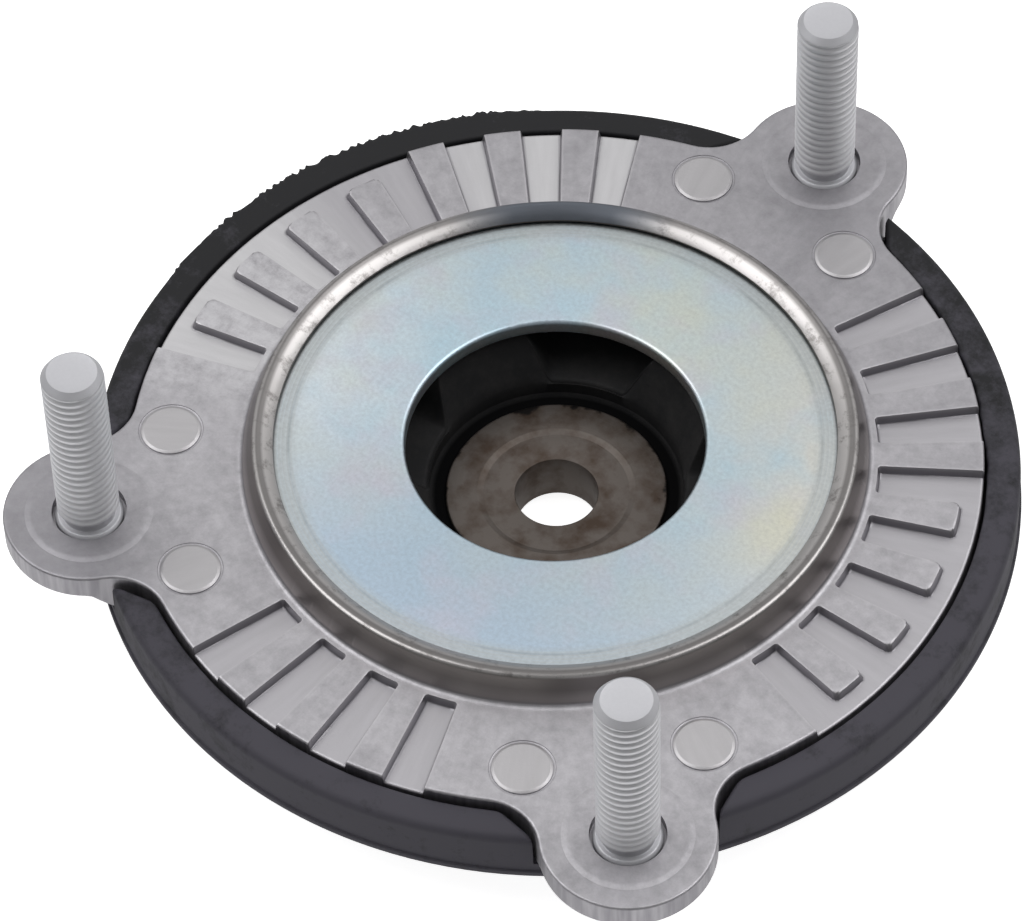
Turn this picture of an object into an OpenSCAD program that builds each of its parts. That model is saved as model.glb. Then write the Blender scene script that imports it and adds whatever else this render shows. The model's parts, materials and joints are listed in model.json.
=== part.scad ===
// Strut top mount: a die-cast flange with three studs, a cover plate under a rolled lip,
// a steel rod core held in rubber and a rubber spring isolator round the cup.
// Millimetres, +Z up. The origin is on the rod axis at the seat of the rod nut,
// and the lone stud stands towards +Y.

/* [Studs] */
// Diameter of the circle that the studs stand on
stud_circle_d = 150; // [146:0.5:156]
// Angle between the two studs of the pair, opposite the lone stud
stud_pair_angle = 90; // [84:1:96]
// Outer diameter of the thread
stud_d = 10; // [8:0.5:11]
// Height of a stud above the casting's face
stud_height = 35; // [20:0.5:50]
// Height of the chamfer at a stud's tip
stud_tip_chamfer = 1; // [0.5:0.1:2]
// Height of the neck between the shank and the thread
stud_neck_h = 1.4; // [0.8:0.1:2]
// Depth of that neck below the thread's outer diameter
stud_neck_cut = 0.8; // [0.4:0.1:1]
// Diameter of the shank pressed into the lug
stud_shank_d = 11; // [10.8:0.1:13]
// Depth of the shank's end below the casting's face
stud_shank_drop = 0.1; // [0.1:0.1:0.6]
// Bevel round the shank's end
stud_shank_bevel = 0.5; // [0.2:0.1:0.6]
// Diameter of the head under the lug
stud_head_d = 15; // [14:0.5:18]
// Thickness of the head under the lug
stud_head_t = 3; // [2:0.1:3.2]

/* [Cover plate] */
// Height of the plate's top above the nut seat
plate_top_z = 14; // [12:0.5:18]
// Thickness of the plate
plate_t = 2.8; // [2:0.1:3]
// Diameter of the hole in the plate
plate_hole_d = 48; // [42:0.5:56]
// Width of the shoulder that carries the plate's edge
plate_shoulder = 2.7; // [2:0.1:4]
// Rounding of the plate's edges
plate_edge_r = 0.5; // [0.2:0.1:0.8]

/* [Casting] */
// Drop from the plate's top to the casting's face
face_drop = 3.2; // [3:0.1:5]
// Outer diameter of the flange
flange_d = 137; // [130:0.5:140]
// Thickness of the flange
flange_t = 7.8; // [7.8:0.1:10]
// Bore of the cup
cup_bore_d = 89; // [80:0.5:92]
// Wall of the cup
cup_wall = 4.5; // [3:0.1:5]
// Depth of the cup's base below the nut seat
cup_base_drop = 10.5; // [10:0.5:16]
// Thickness of the cup's floor
cup_floor_t = 4; // [3:0.1:5]
// Diameter of the opening in the cup's floor
cup_opening_d = 55; // [46:0.5:64]
// Bevel round the cup's base
cup_bevel = 1.2; // [0.5:0.1:2]
// Wall of the collar round the plate's edge
collar_wall = 2.8; // [2:0.1:4]
// Fillet at the foot of the collar
collar_fillet_r = 1; // [0.5:0.1:1.5]
// Height of the rolled lip above the plate
lip_h = 2; // [1.6:0.1:3]
// Width by which the lip covers the plate's edge
lip_cover = 2.2; // [1.5:0.1:3]
// Rounding of the lip
lip_round_r = 0.8; // [0.4:0.1:0.8]
// Lean of the lip's outer flank
lip_lean = 22; // [5:1:25]

/* [Lugs] */
// Radius of a lug's round end about its stud
lug_r = 13.8; // [12:0.1:15]
// Thickness of a lug at its end
lug_t = 4.5; // [4:0.1:4.8]
// Radius of the hollow blend between a lug and the flange
lug_fillet_r = 9; // [6:0.5:12]
// Diameter of the raised seat round a stud
seat_d = 18.8; // [17:0.1:20]
// Height of the raised seat
seat_h = 0.4; // [0.2:0.1:0.6]
// Gap round the shank's end in the lug's face
shank_gap = 0.5; // [0.3:0.1:0.8]
// Depth of that gap below the casting's face
shank_gap_depth = 1.5; // [1:0.1:2]
// Depth of the spot face under a lug for the stud's head
spot_face = 0.4; // [0.2:0.1:0.8]
// Diameter of an ejector mark
mark_d = 9.7; // [8:0.1:11]
// Height of an ejector mark
mark_h = 0.3; // [0.1:0.05:0.4]
// Distance of the ejector marks' circle inside the studs' circle
mark_inset = 13; // [12:0.1:14]
// Angle of an ejector mark from its stud
mark_angle = 13.2; // [12:0.1:15]

/* [Pads] */
// Angle from one recess to the next
pad_pitch = 11; // [10.5:0.05:11.2]
// Angle across one recess
recess_angle = 5.6; // [4.5:0.1:6.5]
// Depth of the recesses below the casting's face
recess_depth = 1.5; // [1:0.1:3]
// Width of the plain ring between the collar and the recesses
recess_ring = 1.7; // [1.5:0.1:4]
// Angle from the lone stud to the first recess on each side
recess_start = 24.7; // [23:0.1:26]
// Recesses on each long side
long_recesses = 8; // [6:1:8]
// Recesses between the two studs of the pair
short_recesses = 4; // [2:1:4]
// Pads on each long side that reach the flange's edge
full_pads = 3; // [1:1:5]
// Width of the low strip outside the shorter pads
strip_w = 3.2; // [1:0.1:5]

/* [Rod core] */
// Bore for the piston rod's end
core_bore_d = 13.4; // [12:0.1:16]
// Length of the bore below the nut seat
core_length = 9.6; // [9:0.1:10]
// Bevel at the bore's lower end
core_bevel = 0.8; // [0.4:0.1:1.2]
// Diameter of the nut seat
nut_seat_d = 24.6; // [20:0.1:30]
// Depth of the nut seat below the core's rim
nut_seat_depth = 0.4; // [0.2:0.1:2]
// Diameter of the core's rim
core_d = 35.8; // [34:0.1:40]
// Diameter of the disc embedded in the rubber
core_disc_d = 62; // [50:1:76]
// Thickness of that disc
core_disc_t = 3.5; // [2.5:0.1:4]
// Depth of the disc's underside below the nut seat
core_disc_drop = 4.5; // [4.5:0.1:5]
// Diameter of the core's lower end
core_foot_d = 32; // [24:0.5:33]

/* [Bushing rubber] */
// Width of the groove round the core's rim
throat_w = 2.6; // [1:0.1:3]
// Depth of that groove below the core's rim
throat_drop = 0.6; // [0.2:0.1:1]
// Height of the rubber between the lobes above the nut seat
saddle_h = 3; // [2:0.1:6]
// Height of the bevel at the mouth of that groove
throat_bevel = 0.6; // [0.3:0.1:1]
// Lobes that reach up to the plate
lobe_count = 4; // [3:1:5]
// Angle across one lobe
lobe_angle = 46; // [30:1:60]
// Angle from the lone stud back to the middle of the first lobe
lobe_turn = 23; // [0:1:45]
// Setback of the lobes behind the edge of the plate's hole
mouth_setback = 0.8; // [0.5:0.1:2]

/* [Spring isolator] */
// Gap between the isolator and the casting's cup
isolator_fit = 0.3; // [0.2:0.05:0.5]
// Gap between the flange's edge and the isolator's rim
rim_gap = 0.6; // [0.3:0.1:1]
// Thickness of the rim
rim_t = 5.3; // [4:0.1:6]
// Drop from the casting's face to the rim's top
rim_drop = 1.4; // [0.5:0.1:2.5]
// Height of the rim's outer wall
rim_h = 9.2; // [8:0.1:11]
// Rounding of the rim's outer top edge
rim_round_r = 1.4; // [0.5:0.1:2]
// Height of the bead at the rim's lower edge
bead_h = 1.2; // [0.6:0.1:2]
// Width by which the bead stands out
bead_w = 0.4; // [0.2:0.1:0.8]
// Thickness of the spring seat under the flange
spring_seat_t = 7; // [6:0.5:10]
// Width of the sloping edge outside the spring seat
spring_seat_edge = 3.4; // [2:0.1:5]
// Wall of the collar that centres the spring
spring_collar_t = 4; // [3:0.1:6]
// Height of that collar below the spring seat
spring_collar_h = 3; // [2:0.1:4]

/* [Hidden] */
$fn = 96;

// Overrun of a cutting shape past the surface that it opens
over = 1;
// Depth inside the casting at which the raised bosses on its face start
boss_root = 1;

// Levels along the rod axis
plate_bottom_z = plate_top_z - plate_t;
face_z = plate_top_z - face_drop;
flange_bottom_z = face_z - flange_t;
lug_bottom_z = face_z - lug_t;
head_top_z = lug_bottom_z + spot_face;
lip_top_z = plate_top_z + lip_h;
cup_base_z = -cup_base_drop;
cup_floor_z = cup_base_z + cup_floor_t;
recess_floor_z = face_z - recess_depth;
shank_top_z = face_z - stud_shank_drop;
thread_foot_z = shank_top_z + stud_neck_h;
stud_top_z = face_z + stud_height;
core_rim_z = nut_seat_depth;
core_foot_z = -core_length;
disc_bottom_z = -core_disc_drop;
throat_z = core_rim_z - throat_drop;
rim_top_z = face_z - rim_drop;
rim_foot_z = rim_top_z - rim_h;
spring_seat_z = flange_bottom_z - spring_seat_t;
spring_collar_z = spring_seat_z - spring_collar_h;

// Radii about the rod axis
stud_circle_r = stud_circle_d / 2;
flange_r = flange_d / 2;
cup_bore_r = cup_bore_d / 2;
cup_r = cup_bore_r + cup_wall;
plate_r = cup_bore_r + plate_shoulder;
collar_r = plate_r + collar_wall;
lip_inner_r = plate_r - lip_cover;
recess_inner_r = collar_r + recess_ring;
short_pad_r = flange_r - strip_w;
mark_circle_r = stud_circle_r - mark_inset;
lug_reach = stud_circle_r + lug_r;
rim_inner_r = flange_r + rim_gap;
rim_r = rim_inner_r + rim_t;
isolator_bore_r = cup_r + isolator_fit;
core_r = core_d / 2;
throat_r = core_r + throat_w;
mouth_r = plate_hole_d / 2 + mouth_setback;

// Angles of the studs about the rod axis
lone_angle = 90;
pair_middle = lone_angle + 180;
stud_angles = [lone_angle, pair_middle - stud_pair_angle / 2, pair_middle + stud_pair_angle / 2];

// Centre of the blend circle that touches both the flange's edge and a lug's round end
blend_to_axis = flange_r + lug_fillet_r;
blend_to_stud = lug_r + lug_fillet_r;
blend_x = (pow(blend_to_axis, 2) - pow(blend_to_stud, 2) + pow(stud_circle_r, 2)) / (2 * stud_circle_r);
blend_y = sqrt(pow(blend_to_axis, 2) - pow(blend_x, 2));

// Rectangle of a turned section between two radii and two levels
module section(r0, r1, z0, z1) {
  translate([r0, z0])
    square([r1 - r0, z1 - z0]);
}

// The same rectangle with its four corners rounded
module rounded_section(r0, r1, z0, z1, corner_r) {
  section(r0 + corner_r, r1 - corner_r, z0, z1);
  section(r0, r1, z0 + corner_r, z1 - corner_r);
  for (r = [r0 + corner_r, r1 - corner_r], z = [z0 + corner_r, z1 - corner_r])
    translate([r, z])
      circle(r = corner_r);
}

// Places its children at each stud, with +X pointing away from the rod axis
module at_studs() {
  for (angle = stud_angles)
    rotate(angle)
      translate([stud_circle_r, 0, 0])
        children();
}

// Outline of one lug along +X, widened all round by grow
module lug_outline(grow) {
  difference() {
    union() {
      translate([stud_circle_r, 0])
        circle(r = lug_r + grow);
      polygon([[0, 0], [blend_x, -blend_y], [stud_circle_r, 0], [blend_x, blend_y]]);
    }
    for (side = [-1, 1])
      translate([blend_x, side * blend_y])
        circle(r = lug_fillet_r - grow);
  }
}

// Ring sector from one radius out past the flange's edge
module ring_sector(start, span, inner_r) {
  reach = (flange_r + 2 * over) / cos(span / 2);
  intersection() {
    polygon([
      [0, 0],
      [reach * cos(start), reach * sin(start)],
      [reach * cos(start + span), reach * sin(start + span)]
    ]);
    difference() {
      circle(r = flange_r + over);
      circle(r = inner_r);
    }
  }
}

// Outline of a row of equally spaced recesses that starts at the given angle
module recess_row(start, count) {
  for (i = [0 : count - 1])
    ring_sector(start + i * pad_pitch, recess_angle, recess_inner_r);
}

// Outline of the recesses on one long side, with the low strip outside its shorter pads
module long_side() {
  recess_row(lone_angle + recess_start, long_recesses);
  strip_start = lone_angle + recess_start + full_pads * pad_pitch + recess_angle / 2;
  ring_sector(strip_start, (long_recesses - 1 - full_pads) * pad_pitch, short_pad_r);
}

// All recesses round the face: two mirrored long sides and a short row between the paired studs
module face_recesses() {
  short_span = (short_recesses - 1) * pad_pitch + recess_angle;
  translate([0, 0, recess_floor_z])
    linear_extrude(height = recess_depth + over) {
      long_side();
      mirror([1, 0, 0])
        long_side();
      recess_row(pair_middle - short_span / 2, short_recesses);
    }
}

// Turned section of the collar and of the lip rolled over the plate's edge, leaning in on its outer flank
module lip_section() {
  crown_z = lip_top_z - lip_round_r;
  flank_top_z = crown_z + lip_round_r * sin(lip_lean);
  flank_foot_z = face_z + collar_fillet_r;
  flank_top_r = collar_r - (flank_top_z - flank_foot_z) * tan(lip_lean);
  crown_r = flank_top_r - lip_round_r * cos(lip_lean);
  nose_r = lip_inner_r + lip_round_r;
  nose_z = plate_top_z + lip_round_r;
  polygon([
    [plate_r, flange_bottom_z],
    [collar_r, flange_bottom_z],
    [collar_r, flank_foot_z],
    [flank_top_r, flank_top_z],
    [crown_r, lip_top_z],
    [nose_r, lip_top_z],
    [lip_inner_r, crown_z],
    [lip_inner_r, nose_z],
    [nose_r, plate_top_z],
    [plate_r, plate_top_z]
  ]);
  for (centre = [[crown_r, crown_z], [nose_r, crown_z], [nose_r, nose_z]])
    translate(centre)
      circle(r = lip_round_r);
}

// Turned section of the casting: flange, cup, collar and rolled lip
module casting_section() {
  difference() {
    union() {
      section(cup_bore_r, flange_r, flange_bottom_z, face_z);
      section(cup_bore_r, cup_r, cup_base_z, face_z);
      section(cup_opening_d / 2, cup_r, cup_base_z, cup_floor_z);
      section(cup_bore_r, collar_r, flange_bottom_z, plate_bottom_z);
      lip_section();
      difference() {
        section(collar_r, collar_r + collar_fillet_r, face_z, face_z + collar_fillet_r);
        translate([collar_r + collar_fillet_r, face_z + collar_fillet_r])
          circle(r = collar_fillet_r);
      }
    }
    translate([cup_r, cup_base_z])
      rotate(45)
        square(cup_bevel * sqrt(2), center = true);
  }
}

// Turned section that bounds the lugs: thin at the end, with a sloping gusset down to the flange
module lug_section() {
  gusset_rise = lug_bottom_z - flange_bottom_z;
  polygon([
    [cup_r, flange_bottom_z],
    [rim_r, flange_bottom_z],
    [rim_r + gusset_rise, lug_bottom_z],
    [lug_reach + over, lug_bottom_z],
    [lug_reach + over, face_z],
    [cup_r, face_z]
  ]);
}

// The three lugs with their gussets
module lugs() {
  intersection() {
    rotate_extrude()
      lug_section();
    for (angle = stud_angles)
      rotate([0, 0, angle])
        translate([0, 0, flange_bottom_z])
          linear_extrude(height = flange_t)
            difference() {
              lug_outline(0);
              circle(r = collar_r);
            }
  }
}

// Raised seats round the studs and raised ejector marks beside them, rooted inside the casting
module face_bosses() {
  root_z = face_z - boss_root;
  seat_rise = boss_root + seat_h;
  at_studs()
    translate([0, 0, root_z])
      cylinder(h = seat_rise, d1 = seat_d + 2 * seat_rise, d2 = seat_d);
  for (angle = stud_angles, side = [-1, 1])
    rotate(angle + side * mark_angle)
      translate([mark_circle_r, 0, root_z])
        cylinder(h = boss_root + mark_h, d = mark_d);
}

// Stepped hole for a stud: press bore, open ring at the face and a pocket for the head
module stud_hole() {
  translate([0, 0, flange_bottom_z - over])
    cylinder(h = flange_t + seat_h + 2 * over, d = stud_shank_d);
  translate([0, 0, face_z - shank_gap_depth])
    cylinder(h = shank_gap_depth + seat_h + over, d = stud_shank_d + 2 * shank_gap);
  translate([0, 0, flange_bottom_z - over])
    cylinder(h = head_top_z - flange_bottom_z + over, d = stud_head_d + 2 * shank_gap);
}

module housing() {
  color([0.66, 0.65, 0.67])
    difference() {
      union() {
        rotate_extrude()
          casting_section();
        lugs();
        face_bosses();
      }
      face_recesses();
      at_studs()
        stud_hole();
    }
}

// One stud: head, pressed shank with a bevelled end, neck, thread diameter and chamfered tip
module stud() {
  translate([0, 0, head_top_z - stud_head_t])
    cylinder(h = stud_head_t, d = stud_head_d);
  translate([0, 0, head_top_z])
    cylinder(h = shank_top_z - stud_shank_bevel - head_top_z, d = stud_shank_d);
  translate([0, 0, shank_top_z - stud_shank_bevel])
    cylinder(h = stud_shank_bevel, d1 = stud_shank_d, d2 = stud_shank_d - 2 * stud_shank_bevel);
  translate([0, 0, head_top_z])
    cylinder(h = thread_foot_z - head_top_z, d = stud_d - 2 * stud_neck_cut);
  translate([0, 0, thread_foot_z])
    cylinder(h = stud_top_z - stud_tip_chamfer - thread_foot_z, d = stud_d);
  translate([0, 0, stud_top_z - stud_tip_chamfer])
    cylinder(h = stud_tip_chamfer, d1 = stud_d, d2 = stud_d - 2 * stud_tip_chamfer);
}

module mounting_studs() {
  color([0.59, 0.59, 0.58])
    at_studs()
      stud();
}

module cover_plate() {
  color([0.73, 0.80, 0.84])
    rotate_extrude()
      rounded_section(plate_hole_d / 2, plate_r, plate_bottom_z, plate_top_z, plate_edge_r);
}

// Turned section of the core: rim, nut seat, bore, embedded disc and foot
module core_section() {
  bore_r = core_bore_d / 2;
  difference() {
    union() {
      section(bore_r, core_r, disc_bottom_z, core_rim_z);
      section(bore_r, core_disc_d / 2, disc_bottom_z, disc_bottom_z + core_disc_t);
      section(bore_r, core_foot_d / 2, core_foot_z, disc_bottom_z);
    }
    section(0, nut_seat_d / 2, 0, core_rim_z + over);
    translate([bore_r, core_foot_z])
      rotate(45)
        square(core_bevel * sqrt(2), center = true);
  }
}

module rod_core() {
  color([0.37, 0.33, 0.31])
    rotate_extrude()
      core_section();
}

// Turned section of the bushing: it fills the cup under the plate and leans back from the groove
// at the core's rim to just behind the plate's hole
module bushing_section() {
  difference() {
    polygon([
      [0, cup_floor_z],
      [cup_bore_r, cup_floor_z],
      [cup_bore_r, plate_bottom_z],
      [mouth_r, plate_bottom_z],
      [throat_r, saddle_h - throat_bevel],
      [throat_r, throat_z],
      [0, throat_z]
    ]);
    section(0, core_r, disc_bottom_z, core_rim_z + over);
    section(0, core_disc_d / 2, disc_bottom_z, disc_bottom_z + core_disc_t);
    section(0, core_foot_d / 2, core_foot_z - over, disc_bottom_z);
  }
}

// Gaps between the lobes, cut down from the plate
module lobe_gaps() {
  lobe_pitch = 360 / lobe_count;
  for (i = [0 : lobe_count - 1])
    rotate(lone_angle - lobe_turn + i * lobe_pitch + lobe_angle / 2)
      rotate_extrude(angle = lobe_pitch - lobe_angle)
        section(core_r, cup_bore_r + over, saddle_h, plate_bottom_z + over);
}

module bushing_rubber() {
  color([0.17, 0.17, 0.18])
    difference() {
      rotate_extrude()
        bushing_section();
      lobe_gaps();
    }
}

// Corner that is cut from the isolator's section to round the rim's outer top edge
module rim_corner() {
  centre_r = rim_r - rim_round_r;
  centre_z = rim_top_z - rim_round_r;
  difference() {
    section(centre_r, rim_r + over, centre_z, rim_top_z + over);
    translate([centre_r, centre_z])
      circle(r = rim_round_r);
  }
}

// Turned section of the isolator: rim round the flange, seat under it and a collar on the cup
module isolator_section() {
  seat_outer_r = rim_r - spring_seat_edge;
  difference() {
    polygon([
      [isolator_bore_r, flange_bottom_z],
      [rim_inner_r, flange_bottom_z],
      [rim_inner_r, rim_top_z],
      [rim_r, rim_top_z],
      [rim_r, rim_foot_z + bead_h],
      [rim_r + bead_w, rim_foot_z + bead_h],
      [rim_r + bead_w, rim_foot_z],
      [rim_r, rim_foot_z],
      [seat_outer_r, spring_seat_z],
      [isolator_bore_r + spring_collar_t, spring_seat_z],
      [isolator_bore_r + spring_collar_t, spring_collar_z],
      [isolator_bore_r, spring_collar_z]
    ]);
    rim_corner();
  }
}

module spring_isolator() {
  color([0.21, 0.21, 0.22])
    difference() {
      rotate_extrude()
        isolator_section();
      for (angle = stud_angles)
        rotate([0, 0, angle])
          translate([0, 0, flange_bottom_z])
            linear_extrude(height = flange_t + over)
              lug_outline(rim_gap);
    }
}

housing();
mounting_studs();
cover_plate();
bushing_rubber();
rod_core();
spring_isolator();
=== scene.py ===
"""Looks of the strut mount: its surfaces and finishes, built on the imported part's frame.

Sizes are millimetres and degrees about the rod axis unless a name says otherwise, and every mesh
is written in metres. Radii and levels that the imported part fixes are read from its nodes. A
profile runs round its solid with the outer wall going up, the top going inwards, the inner wall
going down and the underside going outwards, so that every face of a grid points outwards.
"""

import json
import logging
import math
from dataclasses import dataclass, field
from enum import Enum

import bmesh
import bpy
import numpy as np
from mathutils import Matrix, Vector


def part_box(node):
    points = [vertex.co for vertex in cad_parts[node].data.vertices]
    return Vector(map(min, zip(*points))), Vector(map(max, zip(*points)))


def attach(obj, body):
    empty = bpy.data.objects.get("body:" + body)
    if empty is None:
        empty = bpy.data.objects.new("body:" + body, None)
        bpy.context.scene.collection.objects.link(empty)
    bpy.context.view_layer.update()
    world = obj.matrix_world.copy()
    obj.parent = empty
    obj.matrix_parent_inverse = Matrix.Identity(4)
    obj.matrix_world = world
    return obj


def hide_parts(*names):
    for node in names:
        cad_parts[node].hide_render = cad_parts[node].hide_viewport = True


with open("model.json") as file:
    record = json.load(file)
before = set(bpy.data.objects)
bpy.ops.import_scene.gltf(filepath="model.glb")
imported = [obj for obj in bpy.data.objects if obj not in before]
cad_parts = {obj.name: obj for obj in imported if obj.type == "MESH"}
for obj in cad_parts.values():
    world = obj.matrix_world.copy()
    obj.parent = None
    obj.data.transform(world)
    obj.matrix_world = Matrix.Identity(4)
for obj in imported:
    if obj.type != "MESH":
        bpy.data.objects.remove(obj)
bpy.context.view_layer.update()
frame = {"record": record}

log = logging.getLogger("strut_mount")
MM = 0.001
BODY = "root"
# Points closer than this are merged.
MERGE_M = 2e-6
# Share of their own step by which even columns keep off the close ones.
KEEP_OFF = 0.4
# Slack, in millimetres, where faces are told apart by their level.
SLACK = 0.1
Tree = bpy.types.NodeTree
Socket = bpy.types.NodeSocket


class Slot(Enum):
    """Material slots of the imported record."""

    CASTING = "cast_aluminium"
    STUDS = "stud_steel"
    PLATE = "zinc_plated_steel"
    BUSHING = "bushing_rubber"
    CORE = "phosphated_steel"
    ISOLATOR = "isolator_rubber"


class Cut(Enum):
    """Ways of joining a turned tool with a piece."""

    REMOVE = "DIFFERENCE"
    ADD = "UNION"


def smooth_step(low: float, high: float, value: np.ndarray) -> np.ndarray:
    """Ramp that is 0 below low and 1 above high, level at both ends.

    Args:
        low: Value at which the ramp starts.
        high: Value at which the ramp ends.
        value: Where the ramp is read.

    Returns:
        Three times the square less twice the cube of the share of the way.
    """
    share = np.clip((value - low) / (high - low), 0.0, 1.0)
    return share * share * (3.0 - 2.0 * share)


def smooth_max(first: np.ndarray, second: np.ndarray, blend: float) -> np.ndarray:
    """Larger of two fields, with the crease between them filled by a fillet.

    Args:
        first: One field.
        second: The other field.
        blend: Difference between the fields below which they blend.

    Returns:
        The larger value plus a quarter of the squared overlap.
    """
    overlap = np.maximum(blend - np.abs(first - second), 0.0)
    return np.maximum(first, second) + overlap * overlap / (4.0 * blend)


def turn_between(angle: np.ndarray, middle: np.ndarray) -> np.ndarray:
    """Signed angle from middle to angle, in degrees between -180 and 180."""
    return (angle - middle + 180.0) % 360.0 - 180.0


def polar(radius: np.ndarray, angle: np.ndarray, level: np.ndarray) -> np.ndarray:
    """Points from cylindrical places about the rod axis.

    Args:
        radius: Distance from the axis.
        angle: Angle from +X in degrees.
        level: Height along the axis.

    Returns:
        The three inputs broadcast together, as x, y and z on a last axis.
    """
    radius, turn, level = np.broadcast_arrays(radius, np.radians(angle), level)
    return np.stack([radius * np.cos(turn), radius * np.sin(turn), level], axis=-1)


def to_polar(place: np.ndarray) -> tuple[np.ndarray, np.ndarray]:
    """Distance from the rod axis and angle from +X in degrees of points."""
    return np.hypot(place[..., 0], place[..., 1]), np.degrees(np.arctan2(place[..., 1], place[..., 0]))


def filled(close: np.ndarray, step: float) -> np.ndarray:
    """Angles all round: given ones that lie close together and even ones that keep off them.

    Args:
        close: Given angles in degrees.
        step: Step of the even angles.

    Returns:
        The given angles, then the even ones.
    """
    even = np.arange(0.0, 360.0, step)
    gap = np.min(np.abs(turn_between(even[:, None], close)), axis=1)
    return np.concatenate([close, even[gap > KEEP_OFF * step]])


def rounded(corners: list[tuple[float, float, float]], steps: int = 5) -> np.ndarray:
    """Closed profile whose corners are replaced by arcs.

    Each corner's arc touches both of its sides, has its centre on the corner's bisector and
    turns by the angle between the sides.

    Args:
        corners: Radius, level and rounding of each corner, in order.
        steps: Points on each arc.

    Returns:
        Radius and level of every point.
    """
    table = np.array(corners, float)
    place, bend = table[:, :2], table[:, 2]
    back = np.roll(place, 1, axis=0) - place
    ahead = np.roll(place, -1, axis=0) - place
    back /= np.linalg.norm(back, axis=1, keepdims=True)
    ahead /= np.linalg.norm(ahead, axis=1, keepdims=True)
    half = 0.5 * np.arccos(np.clip(np.sum(back * ahead, axis=1), -1.0, 1.0))
    bisector = (back + ahead) / np.linalg.norm(back + ahead, axis=1, keepdims=True)
    centre = place + bisector * (bend / np.sin(half))[:, None]
    arm = place + back * (bend / np.tan(half))[:, None] - centre
    side = np.sign(back[:, 1] * ahead[:, 0] - back[:, 0] * ahead[:, 1])
    turn = (side * (np.pi - 2.0 * half))[:, None] * np.linspace(0.0, 1.0, steps)
    across = arm[:, None, 0] * np.cos(turn) - arm[:, None, 1] * np.sin(turn)
    along = arm[:, None, 0] * np.sin(turn) + arm[:, None, 1] * np.cos(turn)
    return (centre[:, None, :] + np.stack([across, along], axis=-1)).reshape(-1, 2)


@dataclass(frozen=True)
class Reach:
    """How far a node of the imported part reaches, in millimetres."""

    radius: float
    low: float
    high: float

    @classmethod
    def of(cls, node: str) -> "Reach":
        """Reads a node's reach.

        Args:
            node: Name of the node.

        Returns:
            Its reach along +X and its lowest and highest level.
        """
        low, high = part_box(node)
        return cls(round(high.x / MM, 2), round(low.z / MM, 2), round(high.z / MM, 2))


@dataclass(frozen=True)
class StudPlaces:
    """Where the studs stand about the rod axis."""

    circle_r: float
    angles: np.ndarray

    @classmethod
    def from_record(cls) -> "StudPlaces":
        """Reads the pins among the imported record's mounts.

        Returns:
            The circle that the studs stand on and the angle of each.
        """
        pins = [mount for mount in frame["record"]["mounts"] if mount["kind"] == "pin"]
        place = np.array([pin["pos_m"][:2] for pin in pins]) / MM
        angle = np.degrees(np.arctan2(place[:, 1], place[:, 0])) % 360.0
        return cls(float(np.hypot(*place[0])), angle)

    def centres(self) -> np.ndarray:
        """Places of the studs' axes at level zero."""
        return polar(self.circle_r, self.angles, 0.0)

    def nearest(self, angle: np.ndarray) -> np.ndarray:
        """Turn from the nearest stud.

        Args:
            angle: Angles about the rod axis.

        Returns:
            The signed angle from the nearest stud to each of them.
        """
        turns = turn_between(np.asarray(angle)[..., None], self.angles)
        pick = np.argmin(np.abs(turns), axis=-1)
        return np.take_along_axis(turns, pick[..., None], axis=-1)[..., 0]


@dataclass
class Skin:
    """Grid of points, rows by columns by x, y and z, that may join up with itself."""

    points: np.ndarray
    rows_wrap: bool = True
    columns_wrap: bool = True

    def faces(self) -> np.ndarray:
        """Faces of the grid.

        Returns:
            Four corner numbers for every cell.
        """
        rows, columns = self.points.shape[:2]
        row = np.arange(rows if self.rows_wrap else rows - 1)[:, None]
        column = np.arange(columns if self.columns_wrap else columns - 1)[None, :]
        next_row, next_column = (row + 1) % rows, (column + 1) % columns
        corners = [
            row * columns + column,
            row * columns + next_column,
            next_row * columns + next_column,
            next_row * columns + column,
        ]
        cells = [np.broadcast_to(corner, (row.size, column.size)) for corner in corners]
        return np.stack(cells, axis=-1).reshape(-1, 4)


def turned(profile: np.ndarray, columns: int, wrap: bool = True, centre: np.ndarray | None = None) -> Skin:
    """Surface of revolution: each point of the profile is swept round as one row.

    Args:
        profile: Radius and level of each row.
        columns: Points round each row.
        wrap: Whether the last row joins the first.
        centre: Place of the axis, if it isn't the rod axis.

    Returns:
        The swept grid.
    """
    angle = np.arange(columns) * 360.0 / columns
    points = polar(profile[:, :1], angle, profile[:, 1:])
    if centre is not None:
        points = points + np.array([centre[0], centre[1], 0.0])
    return Skin(points, rows_wrap=wrap)


def shade(mesh: bpy.types.Mesh, sharp_deg: float) -> None:
    """Shades a mesh smooth, with the edges that turn more than sharp_deg left sharp."""
    mesh.shade_smooth()
    mesh.set_sharp_from_angle(angle=math.radians(sharp_deg))


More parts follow.
